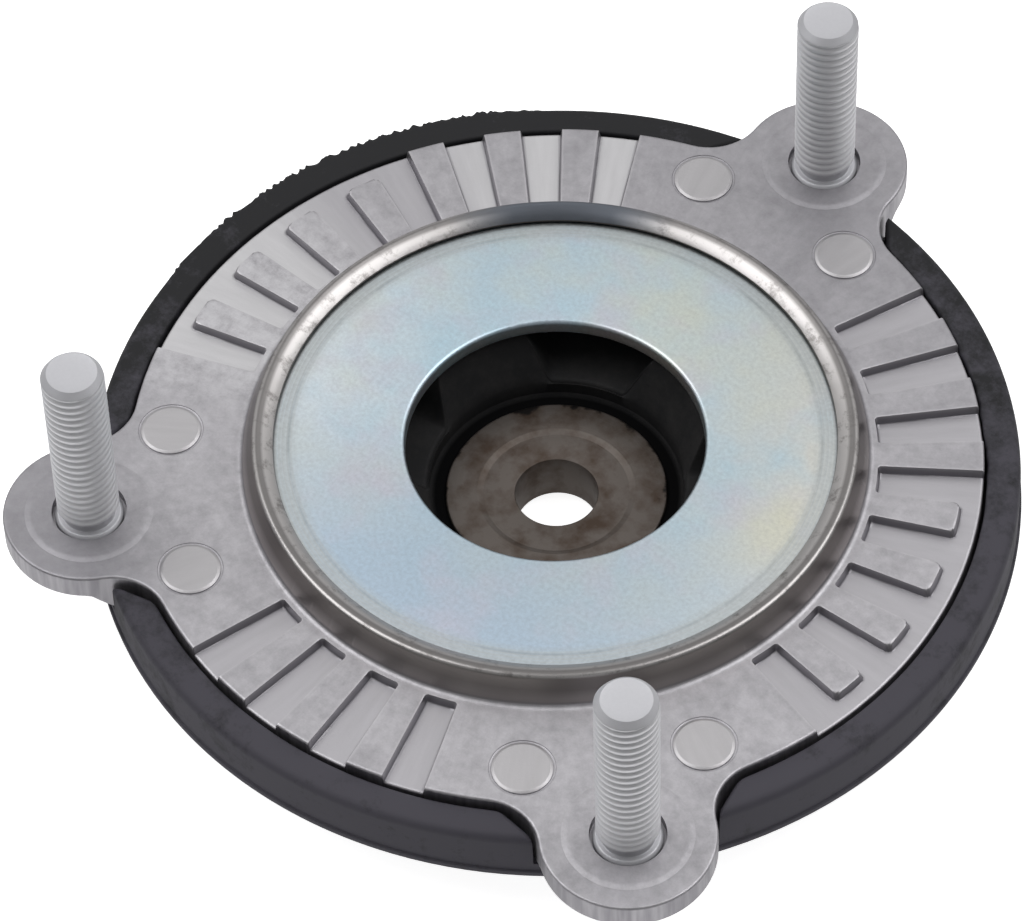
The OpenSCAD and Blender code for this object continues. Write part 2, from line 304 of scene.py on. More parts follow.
def make_object(name: str, skins: list[Skin], sharp_deg: float = 40.0) -> bpy.types.Object:
    """Puts grids into one mesh object at the origin, with doubled points merged.

    Args:
        name: Name of the object.
        skins: Grids in millimetres.
        sharp_deg: Turn above which an edge is shaded sharp.

    Returns:
        The new object, linked to the scene.
    """
    points = np.concatenate([skin.points.reshape(-1, 3) for skin in skins]) * MM
    starts = np.cumsum([0] + [skin.points.size // 3 for skin in skins[:-1]])
    faces = np.concatenate([skin.faces() + start for skin, start in zip(skins, starts)])
    mesh = bpy.data.meshes.new(name)
    mesh.vertices.add(len(points))
    mesh.vertices.foreach_set("co", points.astype(np.float32).ravel())
    mesh.loops.add(faces.size)
    mesh.loops.foreach_set("vertex_index", faces.astype(np.int32).ravel())
    mesh.polygons.add(len(faces))
    mesh.polygons.foreach_set("loop_start", np.arange(0, faces.size, 4, dtype=np.int32))
    mesh.update(calc_edges=True)
    work = bmesh.new()
    work.from_mesh(mesh)
    bmesh.ops.remove_doubles(work, verts=work.verts, dist=MERGE_M)
    bmesh.ops.dissolve_degenerate(work, edges=work.edges, dist=MERGE_M)
    work.to_mesh(mesh)
    work.free()
    mesh.validate()
    shade(mesh, sharp_deg)
    piece = bpy.data.objects.new(name, mesh)
    bpy.context.scene.collection.objects.link(piece)
    return piece


def join_tool(piece: bpy.types.Object, skins: list[Skin], way: Cut, sharp_deg: float = 40.0) -> None:
    """Adds turned tools to a piece or removes them from it, and keeps the result as its mesh.

    Args:
        piece: Closed piece to change.
        skins: Closed grids of the tools.
        way: Whether the tools are added or removed.
        sharp_deg: Turn above which an edge is shaded sharp.
    """
    tool = make_object(f"{piece.name}_tool", skins)
    boolean = piece.modifiers.new("tool", "BOOLEAN")
    boolean.object = tool
    boolean.operation = way.value
    boolean.solver = "MANIFOLD"
    graph = bpy.context.evaluated_depsgraph_get()
    mesh = bpy.data.meshes.new_from_object(piece.evaluated_get(graph))
    piece.modifiers.clear()
    old = piece.data
    piece.data = mesh
    mesh.name = piece.name
    bpy.data.meshes.remove(old)
    bpy.data.meshes.remove(tool.data)
    shade(mesh, sharp_deg)


def read_vectors(items: bpy.types.bpy_prop_collection, name: str) -> np.ndarray:
    """Reads one vector of each point or face of a mesh.

    Args:
        items: Points or faces.
        name: Blender's name for the vector.

    Returns:
        One row of three numbers for each of them.
    """
    flat = np.empty(len(items) * 3, np.float32)
    items.foreach_get(name, flat)
    return flat.reshape(-1, 3).astype(float)


def write_attribute(piece: bpy.types.Object, name: str, values: np.ndarray, domain: str = "POINT") -> None:
    """Stores one number per point or face of a piece for its finish to read."""
    attribute = piece.data.attributes.new(name, "FLOAT", domain)
    attribute.data.foreach_set("value", values.astype(np.float32))


def hand_over(piece: bpy.types.Object, node: str, material: bpy.types.Material) -> None:
    """Dresses a finished piece and sets it in the frame.

    Args:
        piece: Finished piece.
        node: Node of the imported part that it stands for.
        material: Finish of the whole piece.
    """
    piece.data.materials.clear()
    piece.data.materials.append(material)
    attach(piece, BODY)
    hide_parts(node)
    log.info("%s stands for %s with %d faces", piece.name, node, len(piece.data.polygons))


def linear(code: str) -> tuple[float, float, float, float]:
    """Linear colour of an sRGB hex code.

    Args:
        code: Six hex digits after a hash.

    Returns:
        Red, green, blue and full opacity.
    """
    srgb = np.array([int(code[i:i + 2], 16) for i in (1, 3, 5)]) / 255.0
    value = np.where(srgb <= 0.04045, srgb / 12.92, ((srgb + 0.055) / 1.055) ** 2.4)
    return (*value.tolist(), 1.0)


def add_node(tree: Tree, kind: str, inputs: dict | None = None, **settings: object) -> bpy.types.Node:
    """Adds one shader node with its settings and links.

    Args:
        tree: Node tree that takes the node.
        kind: Blender's name for the node without its prefix.
        inputs: Value or linked output for each input, by name or number.
        settings: Properties of the node.

    Returns:
        The new node.
    """
    node = tree.nodes.new("ShaderNode" + kind)
    for name, value in settings.items():
        setattr(node, name, value)
    for key, value in (inputs or {}).items():
        if isinstance(value, bpy.types.NodeSocket):
            tree.links.new(value, node.inputs[key])
        else:
            node.inputs[key].default_value = value
    return node


def start_material(name: str) -> tuple[bpy.types.Material, Tree]:
    """Starts a finish without nodes.

    Args:
        name: Name of the finish.

    Returns:
        The material and its empty node tree.
    """
    material = bpy.data.materials.new(name)
    material.use_nodes = True
    material.node_tree.nodes.clear()
    return material, material.node_tree


def end_material(tree: Tree, inputs: dict) -> None:
    """Ends a finish with its shader, which takes the inputs, and the output."""
    shader = add_node(tree, "BsdfPrincipled", inputs)
    add_node(tree, "OutputMaterial", {"Surface": shader.outputs[0]})


def about_axis(tree: Tree) -> tuple[Socket, Socket, Socket]:
    """Measures where a point of a piece lies about the rod axis.

    Args:
        tree: Node tree of the finish.

    Returns:
        Outputs with the place, the place laid flat and its distance from the axis, in metres.
    """
    place = add_node(tree, "TexCoord").outputs["Object"]
    flat = add_node(tree, "VectorMath", {0: place, 1: (1.0, 1.0, 0.0)}, operation="MULTIPLY").outputs[0]
    return place, flat, add_node(tree, "VectorMath", {0: flat}, operation="LENGTH").outputs["Value"]


def way_along(tree: Tree, place: Socket, angle: float) -> Socket:
    """How far a place lies from the rod axis along one level direction.

    Args:
        tree: Node tree of the finish.
        place: Place, or level direction, that is measured.
        angle: Angle of the direction in degrees.

    Returns:
        Output with the signed distance in metres, or the cosine between two directions.
    """
    turn = math.radians(angle)
    direction = (math.cos(turn), math.sin(turn), 0.0)
    return add_node(tree, "VectorMath", {0: place, 1: direction}, operation="DOT_PRODUCT").outputs["Value"]


@dataclass(frozen=True)
class Ramp:
    """Straight ramp from low at the start to high at the end, level beyond both."""

    start: float
    end: float
    low: float = 0.0
    high: float = 1.0

    def inputs(self, value: Socket, unit: float = 1.0) -> dict:
        """Inputs of a range node that reads a value, with the ramp's start and end in a unit."""
        return {0: value, 1: self.start * unit, 2: self.end * unit, 3: self.low, 4: self.high}


@dataclass(frozen=True)
class Fade:
    """Ramp in millimetres from the rod axis along one level direction."""

    angle: float
    ramp: Ramp

    def output(self, tree: Tree, place: Socket) -> Socket:
        """Output with the ramp's value at a place."""
        way = way_along(tree, place, self.angle)
        return add_node(tree, "MapRange", self.ramp.inputs(way, MM)).outputs[0]


@dataclass(frozen=True)
class Cloud:
    """Cloudy pattern by the real width of its features, its fineness and how strong the fine ones are."""

    width_mm: float
    detail: float = 2.0
    roughness: float = 0.5

    def inputs(self) -> dict:
        """Inputs of a noise texture on coordinates in metres."""
        return {"Scale": 1.0 / (self.width_mm * MM), "Detail": self.detail, "Roughness": self.roughness}


@dataclass(frozen=True)
class Relief:
    """Fine relief of a surface by its strength and depth."""

    strength: float
    depth_mm: float

    def inputs(self, height: Socket) -> dict:
        """Inputs of a bump node that reads a pattern as height."""
        return {"Strength": self.strength, "Distance": self.depth_mm * MM, "Height": height}


@dataclass(frozen=True)
class CastingGuides:
    """Outputs that the casting's colours read: where a point lies, its clouds and whether it is on a wall."""

    place: Socket
    radius: Socket
    level: Socket
    aside: Socket
    mottle: Socket
    walled: Socket


@dataclass(frozen=True)
class CastAluminium:
    """Die-cast aluminium, left as cast and burnished where the lip was rolled over."""

    face: str = "#C5C3C7"
    stain: str = "#ABA9AD"
    # Painted highlight on the pads towards the back-left.
    lit_face: str = "#D6D5D8"
    # Painted shade, laid on towards the back and on the left lug.
    dull_shade: str = "#97959A"
    floor: str = "#BDBBBF"
    # Painted highlight on the recess floors towards the back and the back-left.
    lit_floor: str = "#D5D4D6"
    mark: str = "#C0BEC0"
    # Rubbed pad edges with a painted highlight.
    edge: str = "#CDCBCE"
    # Painted shade at the feet of the recess walls.
    foot: str = "#87858A"
    # Darker walls: as-cast skin with painted shade.
    wall: str = "#9A989D"
    ridge: str = "#B5B3B7"
    lip: str = "#BCB9B8"
    speck: str = "#7A7674"
    shadow: str = "#70757D"
    # Painted shade in a line along the lip's crown.
    crown: str = "#7F7C7B"
    flank: str = "#6B6562"
    flank_foot: str = "#B9B3B1"
    # Painted shade in the crevice under the lip's nose.
    crevice_shade: str = "#26272B"
    mottle: Cloud = Cloud(3.2, 6.0, 0.78)
    grain: Cloud = Cloud(0.5, 3.0, 0.6)
    flow: Cloud = Cloud(1.5, 4.0, 0.6)
    streak: Cloud = Cloud(1.1)
    flow_r: float = 60.0
    flow_stretch: float = 0.12
    streak_stretch: float = 0.08
    clouded: Ramp = Ramp(0.32, 0.66)
    flow_shade: Ramp = Ramp(0.3, 0.7, 0.95, 1.04)
    streaked: Ramp = Ramp(0.35, 0.65)
    flange_wall: Ramp = Ramp(67.0, 68.3)
    below_pads: Ramp = Ramp(9.6, 10.4, 1.0, 0.0)
    inside_collar: Ramp = Ramp(50.3, 50.6, 1.0, 0.0)
    above_collar: Ramp = Ramp(11.1, 11.7)
    pitted: Ramp = Ramp(0.52, 0.64, 0.0, 0.7)
    crown_r: float = 47.35
    crowned: Ramp = Ramp(0.3, 0.78, 0.85, 0.0)
    flank_rise: Ramp = Ramp(10.9, 13.6)
    flank_open: Fade = Fade(308.0, Ramp(0.0, 48.0, 0.0, 0.5))
    # Painted shade towards the back and over the left lug, where less light falls.
    back_shade: Fade = Fade(85.0, Ramp(25.0, 70.0, 0.0, 0.38))
    left_lug_shade: Fade = Fade(225.0, Ramp(62.0, 78.0, 0.0, 0.6))
    near: Ramp = Ramp(0.92, 0.985)
    # Angles towards which the pads and floors take a painted highlight.
    lit_angles: tuple[float, float] = (125.0, 184.0)
    shadow_angle: float = 125.0
    matt: Ramp = Ramp(0.3, 0.7, 0.52, 0.44)
    lip_roughness: float = 0.32
    relief: Relief = Relief(0.25, 0.06)

    def towards(self, tree: Tree, aside: Socket, angle: float) -> Socket:
        """Share, from 0 to 1, to which a direction lies within 23 to 10 degrees of an angle."""
        return add_node(tree, "MapRange", self.near.inputs(way_along(tree, aside, angle))).outputs[0]

    def flow_marks(self, tree: Tree, guides: CastingGuides) -> Socket:
        """Faint light and dark marks where the metal flowed outwards.

        The pattern is read on a ring, at a height that grows slowly with the distance from the axis, so
        that its clouds are drawn out along the radius.

        Args:
            tree: Node tree of the finish.
            guides: Outputs that the colours read.

        Returns:
            Output with a factor for the colour.
        """
        slow = add_node(tree, "Math", {0: guides.radius, 1: self.flow_stretch}, operation="MULTIPLY")
        outward = add_node(tree, "CombineXYZ", {2: slow.outputs[0]}).outputs[0]
        ring = (self.flow_r * MM, self.flow_r * MM, 0.0)
        spot = add_node(tree, "VectorMath", {0: guides.aside, 1: ring, 2: outward}, operation="MULTIPLY_ADD")
        flow = add_node(tree, "TexNoise", {"Vector": spot.outputs[0], **self.flow.inputs()}).outputs[0]
        return add_node(tree, "MapRange", self.flow_shade.inputs(flow)).outputs[0]

    def shaded_wall_colour(self, tree: Tree, guides: CastingGuides) -> Socket:
        """Darker drafted walls, as-cast skin with painted shade, with upright streaks on the flange's outer
        wall.

        Args:
            tree: Node tree of the finish.
            guides: Outputs that the colours read.

        Returns:
            Output with the walls' colour.
        """
        stretch = (1.0, 1.0, self.streak_stretch)
        upright = add_node(tree, "VectorMath", {0: guides.place, 1: stretch}, operation="MULTIPLY").outputs[0]
        streak = add_node(tree, "TexNoise", {"Vector": upright, **self.streak.inputs()}).outputs[0]
        ridges = add_node(tree, "MapRange", self.streaked.inputs(streak)).outputs[0]
        outside = add_node(tree, "MapRange", self.flange_wall.inputs(guides.radius, MM)).outputs[0]
        ridged = add_node(tree, "Math", {0: ridges, 1: outside}, operation="MULTIPLY").outputs[0]
        tones = {0: ridged, 6: linear(self.wall), 7: linear(self.ridge)}
        return add_node(tree, "Mix", tones, data_type="RGBA").outputs[2]

    def face_colour(self, tree: Tree, guides: CastingGuides) -> Socket:
        """Clouded pads and floors with painted highlights and painted shade by place, darker walls, rubbed
        edges with a painted highlight and painted shade at the feet.

        Args:
            tree: Node tree of the finish.
            guides: Outputs that the colours read.

        Returns:
            Output with the colour of all but the lip.
        """
        cloud = add_node(tree, "MapRange", self.clouded.inputs(guides.mottle)).outputs[0]
        # Painted highlight: floors lighter towards both angles, pads towards the second.
        first, second = (self.towards(tree, guides.aside, angle) for angle in self.lit_angles)
        lit_floor_share = add_node(tree, "Math", {0: first, 1: second}, operation="MAXIMUM").outputs[0]
        lit_pad_share = add_node(tree, "Math", {0: second, 1: cloud}, operation="MULTIPLY").outputs[0]
        # Painted shade towards the back and on the left lug.
        behind, left_lug_shaded = (fade.output(tree, guides.place) for fade in (self.back_shade, self.left_lug_shade))
        place_shaded = add_node(tree, "Math", {0: behind, 1: left_lug_shaded}, operation="MAXIMUM").outputs[0]
        low = add_node(tree, "MapRange", self.below_pads.inputs(guides.level, MM)).outputs[0]
        tones = {0: lit_floor_share, 6: linear(self.floor), 7: linear(self.lit_floor)}
        floor = add_node(tree, "Mix", tones, data_type="RGBA").outputs[2]
        marked, foot_shaded, worn_and_lit = (
            add_node(tree, "Attribute", attribute_name=name).outputs["Fac"]
            for name in ("mark", "foot", "edge")
        )
        colour = linear(self.stain)
        for share, coat, blend in (
            (cloud, linear(self.face), "MIX"),
            (lit_pad_share, linear(self.lit_face), "MIX"),
            (place_shaded, linear(self.dull_shade), "MIX"),
            (marked, linear(self.mark), "MIX"),
            (low, floor, "MIX"),
            (1.0, self.flow_marks(tree, guides), "MULTIPLY"),
            # darker walls: as-cast skin with painted shade
            (guides.walled, self.shaded_wall_colour(tree, guides), "MIX"),
            # painted shade at the walls' feet
            (foot_shaded, linear(self.foot), "MIX"),
            # rubbed edges with a painted highlight
            (worn_and_lit, linear(self.edge), "MIX"),
        ):
            layer = {0: share, 6: colour, 7: coat}
            colour = add_node(tree, "Mix", layer, data_type="RGBA", blend_type=blend).outputs[2]
        return colour

    def lip_colour(self, tree: Tree, guides: CastingGuides) -> Socket:
        """Burnished lip with dark pits, painted shade in a line along its crown, a painted shadow towards the
        back and a flank that darkens upwards.

        Args:
            tree: Node tree of the finish.
            guides: Outputs that the colours read.

        Returns:
            Output with the lip's colour.
        """
        pits = add_node(tree, "MapRange", self.pitted.inputs(guides.mottle)).outputs[0]
        away = add_node(tree, "Math", {0: guides.radius, 1: self.crown_r * MM}, operation="SUBTRACT")
        off = add_node(tree, "Math", {0: away.outputs[0]}, operation="ABSOLUTE").outputs[0]
        on_crown = add_node(tree, "MapRange", self.crowned.inputs(off, MM)).outputs[0]
        rise = add_node(tree, "MapRange", self.flank_rise.inputs(guides.level, MM)).outputs[0]
        facing = self.flank_open.output(tree, guides.place)
        shaded = add_node(tree, "Math", {0: rise, 1: facing}, operation="SUBTRACT").outputs[0]
        tones = {0: shaded, 6: linear(self.flank_foot), 7: linear(self.flank)}
        flank = add_node(tree, "Mix", tones, data_type="RGBA").outputs[2]
        colour = linear(self.lip)
        for share, coat in (
            (pits, linear(self.speck)),
            # painted shade along the crown
            (on_crown, linear(self.crown)),
            (self.towards(tree, guides.aside, self.shadow_angle), linear(self.shadow)),
            (guides.walled, flank),
        ):
            colour = add_node(tree, "Mix", {0: share, 6: colour, 7: coat}, data_type="RGBA").outputs[2]
        return colour

    def material(self) -> bpy.types.Material:
        """Cool grey with faint flow marks and a fine skin; pad edges carry rubbed wear with a painted
        highlight, drafted walls are darker, as-cast skin with painted shade.

        Returns:
            The finish.
        """
        material, tree = start_material("die_cast_aluminium")
        place, flat, radius = about_axis(tree)
        level = add_node(tree, "SeparateXYZ", {0: place}).outputs["Z"]
        aside = add_node(tree, "VectorMath", {0: flat}, operation="NORMALIZE").outputs[0]
        mottle, grain = (
            add_node(tree, "TexNoise", {"Vector": place, **cloud.inputs()}).outputs[0]
            for cloud in (self.mottle, self.grain)
        )
        walled, crevice_shaded = (
            add_node(tree, "Attribute", attribute_name=name).outputs["Fac"] for name in ("wall", "crevice_shade")
        )
        guides = CastingGuides(place, radius, level, aside, mottle, walled)
        inside = add_node(tree, "MapRange", self.inside_collar.inputs(radius, MM)).outputs[0]
        above = add_node(tree, "MapRange", self.above_collar.inputs(level, MM)).outputs[0]
        on_lip = add_node(tree, "Math", {0: inside, 1: above}, operation="MULTIPLY").outputs[0]
        colour = self.face_colour(tree, guides)
        # The lip's colour, then painted shade in the crevice under it.
        for share, coat in ((on_lip, self.lip_colour(tree, guides)), (crevice_shaded, linear(self.crevice_shade))):
            colour = add_node(tree, "Mix", {0: share, 6: colour, 7: coat}, data_type="RGBA").outputs[2]
        rough = add_node(tree, "MapRange", self.matt.inputs(mottle)).outputs[0]
        polish = add_node(tree, "Mix", {0: on_lip, 2: rough, 3: self.lip_roughness}).outputs[0]
        skin = add_node(tree, "Bump", self.relief.inputs(grain)).outputs[0]
        end_material(tree, {"Base Color": colour, "Roughness": polish, "Normal": skin, "Metallic": 1.0})
        return material


@dataclass(frozen=True)
class PlatedStudSteel:
    """Cold-formed steel with rolled threads and a thin zinc-nickel plating."""

    crest: str = "#E8E8EB"
    # Painted shade in the thread's grooves, and the tone of the plain surfaces.
    root: str = "#CFCFD3"
    grain: Cloud = Cloud(0.6, 4.0, 0.6)
    matt: Ramp = Ramp(0.3, 0.7, 0.5, 0.62)
    relief: Relief = Relief(0.2, 0.05)
    metallic: float = 0.7

    def material(self) -> bpy.types.Material:
        """Dull mid grey, darker towards the thread's roots, a painted shade in its grooves.

        Returns:
            The finish.
        """
        material, tree = start_material("plated_stud_steel")
        place = add_node(tree, "TexCoord").outputs["Object"]
        grain = add_node(tree, "TexNoise", {"Vector": place, **self.grain.inputs()}).outputs[0]
        depth = add_node(tree, "Attribute", attribute_name="depth").outputs["Fac"]
        tones = {0: depth, 6: linear(self.crest), 7: linear(self.root)}
        colour = add_node(tree, "Mix", tones, data_type="RGBA").outputs[2]
        rough = add_node(tree, "MapRange", self.matt.inputs(grain)).outputs[0]
        skin = add_node(tree, "Bump", self.relief.inputs(grain)).outputs[0]
        end_material(
            tree, {"Base Color": colour, "Roughness": rough, "Normal": skin, "Metallic": self.metallic}
        )
        return material


@dataclass(frozen=True)
class PassivatedZinc:
    """Zinc plating on pressed sheet with a clear blue passivation."""

    blue: str = "#C4D7E1"
    deep: str = "#B9CADA"
    clear: str = "#E6EDF1"
    bare: str = "#DEDAD0"
    cyan: str = "#BAD6E4"
    yellow: str = "#DCDAC4"
    pink: str = "#D0CBD8"
    rubbed: str = "#BEC3C4"
    dark_ring_line: str = "#6F7A80"
    patch: Cloud = Cloud(22.0, 3.0, 0.55)
    tint: Cloud = Cloud(14.0, 3.0, 0.6)
    brush: Cloud = Cloud(0.7, 4.0, 0.65)
    turning: Cloud = Cloud(0.5)
    front: Fade = Fade(282.0, Ramp(5.0, 38.0, 0.0, 0.9))
    left: Fade = Fade(205.0, Ramp(18.0, 42.0, 0.0, 0.8))
    right: Fade = Fade(25.0, Ramp(16.0, 40.0, 0.0, 0.75))
    sky: Ramp = Ramp(0.48, 0.3, 0.0, 0.8)
    straw: Ramp = Ramp(0.48, 0.74, 0.0, 0.65)
    lilac: Ramp = Ramp(0.5, 0.75, 0.0, 0.6)
    outer_band: Ramp = Ramp(41.0, 43.2, 0.0, 1.6)
    line_r: float = 42.6
    off_line: Ramp = Ramp(0.05, 0.35)
    faint: Ramp = Ramp(0.62, 0.38, 0.0, 0.35)
    frost: Ramp = Ramp(0.35, 0.65, 0.93, 1.07)
    satin: Ramp = Ramp(0.3, 0.7, 0.36, 0.44)
    relief: Relief = Relief(0.08, 0.05)

    def scuffs(self, tree: Tree, radius: Socket, tint: Socket) -> tuple[Socket, Socket]:
        """Rubbed rings near the lip and a fine dark line round the plate at line_r.

        Args:
            tree: Node tree of the finish.
            radius: Output with the distance from the axis.
            tint: Output with the clouds by which the line comes and goes.

        Returns:
            Outputs with the shares of the rings and of the line.
        """
        turning = {"W": radius, **self.turning.inputs()}
        rings = add_node(tree, "TexNoise", turning, noise_dimensions="1D").outputs[0]
        outer = add_node(tree, "MapRange", self.outer_band.inputs(radius, MM)).outputs[0]
        scuffed = add_node(tree, "Math", {0: outer, 1: rings}, operation="MULTIPLY").outputs[0]
        away = add_node(tree, "Math", {0: radius, 1: self.line_r * MM}, operation="SUBTRACT")
        off = add_node(tree, "Math", {0: away.outputs[0]}, operation="ABSOLUTE").outputs[0]
        beside = add_node(tree, "MapRange", self.off_line.inputs(off, MM)).outputs[0]
        faint = add_node(tree, "MapRange", self.faint.inputs(tint)).outputs[0]
        return scuffed, add_node(tree, "Mix", {0: beside, 2: faint, 3: 0.0}).outputs[0]

    def material(self) -> bpy.types.Material:
        """Pale blue frosted metal, deeper in front and clear at the sides, with straw and lilac clouds.

        Returns:
            The finish.
        """
        material, tree = start_material("blue_passivated_zinc")
        place, _, radius = about_axis(tree)
        patch, tint, brush = (
            add_node(tree, "TexNoise", {"Vector": place, **cloud.inputs()}).outputs[0]
            for cloud in (self.patch, self.tint, self.brush)
        )
        front, left, right = (fade.output(tree, place) for fade in (self.front, self.left, self.right))
        sky, straw, lilac, frost, satin = (
            add_node(tree, "MapRange", ramp.inputs(pattern)).outputs[0]
            for ramp, pattern in (
                (self.sky, patch),
                (self.straw, patch),
                (self.lilac, tint),
                (self.frost, brush),
                (self.satin, brush),
            )
        )
        scuffed, drawn = self.scuffs(tree, radius, tint)
        colour = linear(self.blue)
        for share, coat in (
            (left, self.clear),
            (right, self.bare),
            (sky, self.cyan),
            (straw, self.yellow),
            (front, self.deep),
            (lilac, self.pink),
            (scuffed, self.rubbed),
            (drawn, self.dark_ring_line),
        ):
            layer = {0: share, 6: colour, 7: linear(coat)}
            colour = add_node(tree, "Mix", layer, data_type="RGBA").outputs[2]
        frosted = {0: 1.0, 6: colour, 7: frost}
        colour = add_node(tree, "Mix", frosted, data_type="RGBA", blend_type="MULTIPLY").outputs[2]
        skin = add_node(tree, "Bump", self.relief.inputs(brush)).outputs[0]
        end_material(tree, {"Base Color": colour, "Roughness": satin, "Normal": skin, "Metallic": 1.0})
        return material


@dataclass(frozen=True)
class PhosphatedSteel:
    """Turned steel with a manganese phosphate coat and smears of bonding agent."""

    coat: str = "#6A635E"
    brown: str = "#4D4037"
    smear: str = "#1E1B1A"
    turning: Cloud = Cloud(0.9)
    patch: Cloud = Cloud(6.0, 4.0, 0.6)
    rust: Ramp = Ramp(0.42, 0.66)
    rim: Ramp = Ramp(14.6, 18.6, -0.25, 0.2)
    smeared: Ramp = Ramp(0.6, 0.68)
    relief: Relief = Relief(0.35, 0.06)
    metallic: float = 0.75
    roughness: float = 0.52

    def material(self) -> bpy.types.Material:
        """Matt brown grey with faint turned rings and dark smears at the rim.

        Returns:
            The finish.
        """
        material, tree = start_material("phosphated_turned_steel")
        place, _, radius = about_axis(tree)
        turning = {"W": radius, **self.turning.inputs()}
        rings = add_node(tree, "TexNoise", turning, noise_dimensions="1D").outputs[0]
        patch = add_node(tree, "TexNoise", {"Vector": place, **self.patch.inputs()}).outputs[0]
        rust = add_node(tree, "MapRange", self.rust.inputs(patch)).outputs[0]
        rim = add_node(tree, "MapRange", self.rim.inputs(radius, MM)).outputs[0]
        reach = add_node(tree, "Math", {0: rim, 1: patch}, operation="ADD").outputs[0]
        dirt = add_node(tree, "MapRange", self.smeared.inputs(reach)).outputs[0]
        colour = linear(self.coat)
        for share, coat in ((rust, self.brown), (dirt, self.smear)):
            layer = {0: share, 6: colour, 7: linear(coat)}
            colour = add_node(tree, "Mix", layer, data_type="RGBA").outputs[2]
        skin = add_node(tree, "Bump", self.relief.inputs(rings)).outputs[0]
        end_material(
            tree,
            {"Base Color": colour, "Roughness": self.roughness, "Normal": skin, "Metallic": self.metallic},
        )
        return material


@dataclass(frozen=True)
class MouldedRubber:
    """Carbon-black natural rubber as it leaves the mould."""

    name: str
    body: str
    bloom: str
    roughness: float
    shine: float
    # Painted shade round the throat, next to the core.
    throat_shade: str = "#060607"
    grain: Cloud = Cloud(0.7, 3.0, 0.6)
    patch: Cloud = Cloud(7.0, 6.0, 0.78)
    dusty_front: Fade = Fade(312.0, Ramp(-70.0, 70.0, -0.2, 0.24))
    dusty: Ramp = Ramp(0.4, 0.66)
    throat: Ramp = Ramp(19.6, 20.8, 1.0, 0.0)
    throat_roughness: float = 0.95
    relief: Relief = Relief(0.3, 0.08)
    ior: float = 1.52

    def material(self) -> bpy.types.Material:
        """Near-black and matt, with a faint violet bloom, thicker in front, painted shade round the throat
        and a fine pebbled skin.

        Returns:
            The finish.
        """
        material, tree = start_material(self.name)
        place, _, radius = about_axis(tree)
        patch, grain = (
            add_node(tree, "TexNoise", {"Vector": place, **cloud.inputs()}).outputs[0]
            for cloud in (self.patch, self.grain)
        )
        fall = self.dusty_front.output(tree, place)
        bloomed = add_node(tree, "Math", {0: patch, 1: fall}, operation="ADD").outputs[0]
        dust = add_node(tree, "MapRange", self.dusty.inputs(bloomed)).outputs[0]
        # Painted shade round the throat, where the core meets the rubber.
        throat_shaded = add_node(tree, "MapRange", self.throat.inputs(radius, MM)).outputs[0]
        colour = linear(self.body)
        for share, coat in ((dust, self.bloom), (throat_shaded, self.throat_shade)):
            layer = {0: share, 6: colour, 7: linear(coat)}
            colour = add_node(tree, "Mix", layer, data_type="RGBA").outputs[2]
        dulling = Ramp(0.0, 1.0, self.roughness, self.throat_roughness)
        rough = add_node(tree, "MapRange", dulling.inputs(throat_shaded)).outputs[0]
        skin = add_node(tree, "Bump", self.relief.inputs(grain)).outputs[0]
        end_material(
            tree,
            {
                "Base Color": colour,
                "Roughness": rough,
                "Normal": skin,
                "IOR": self.ior,
                "Specular IOR Level": self.shine,
            },
        )
        return material


@dataclass
class LugOutline:
    """Outline of one lug: a round end about the stud and a hollow blend into the flange on each side."""

    circle_r: float
    flange_r: float
    end_r: float = 13.8
    blend_r: float = 9.0

    def __post_init__(self) -> None:
        """Solves the triangle between the rod axis, the stud and a blend's centre."""
        to_axis, to_stud, base = self.flange_r + self.blend_r, self.end_r + self.blend_r, self.circle_r
        along = (to_axis ** 2 - to_stud ** 2 + base ** 2) / (2.0 * base)
        self.centre = np.array([along, math.sqrt(to_axis ** 2 - along ** 2)])
        self.half_angle = math.degrees(math.atan2(self.centre[1], self.centre[0]))
        self.first_turn = math.atan2(-self.centre[1], base - self.centre[0])
        self.end_turn = math.pi + self.first_turn
        self.blend_turn = self.first_turn - (math.radians(self.half_angle) - math.pi)

    def points(self, share: np.ndarray) -> tuple[np.ndarray, np.ndarray]:
        """Outline by its length, with the stud along +X.

        Args:
            share: Share of the way from the lug's tip, from -1 to 1, to where it leaves the flange.

        Returns:
            Points in the plane and their outward normals: on the round end the circle's own radius,
            and on a blend the direction to the blend's centre.
        """
        end_length = self.end_r * self.end_turn
        way = np.abs(share) * (end_length + self.blend_r * self.blend_turn)
        side = np.where(share < 0.0, -1.0, 1.0)
        on_end = way <= end_length
        turn = np.where(on_end, way / self.end_r, self.first_turn - (way - end_length) / self.blend_r)
        direction = np.stack([np.cos(turn), np.sin(turn)], axis=-1)
        end = np.array([self.circle_r, 0.0]) + self.end_r * direction
        blend = self.centre + self.blend_r * direction
        place = np.where(on_end[..., None], end, blend)
        normal = np.where(on_end[..., None], direction, -direction)
        mirror = np.stack([np.ones_like(side), side], axis=-1)
        return place * mirror, normal * mirror

    def edge_angle(self, radius: np.ndarray, grow: float) -> np.ndarray:
        """Angle from the stud at which the outline, grown all round, crosses a radius.

        Args:
            radius: Distance from the rod axis, inside the blend's centre.
            grow: Distance by which the outline is grown.

        Returns:
            The blend centre's angle less the angle of the triangle at the rod axis, in degrees.
        """
        to_axis, hollow = self.flange_r + self.blend_r, self.blend_r - grow
        cosine = (radius ** 2 + to_axis ** 2 - hollow ** 2) / (2.0 * radius * to_axis)
        return self.half_angle - np.degrees(np.arccos(np.clip(cosine, -1.0, 1.0)))


def turn_points(points: np.ndarray, angle: np.ndarray) -> np.ndarray:
    """Turns points or directions in the plane about the rod axis.

    Args:
        points: Points or directions.
        angle: Turn in degrees.

    Returns:
        The turned points, by the cosine and sine of the turn.
    """
    cosine, sine = np.cos(np.radians(angle)), np.sin(np.radians(angle))
    across, along = points[..., 0], points[..., 1]
    return np.stack([across * cosine - along * sine, across * sine + along * cosine], axis=-1)


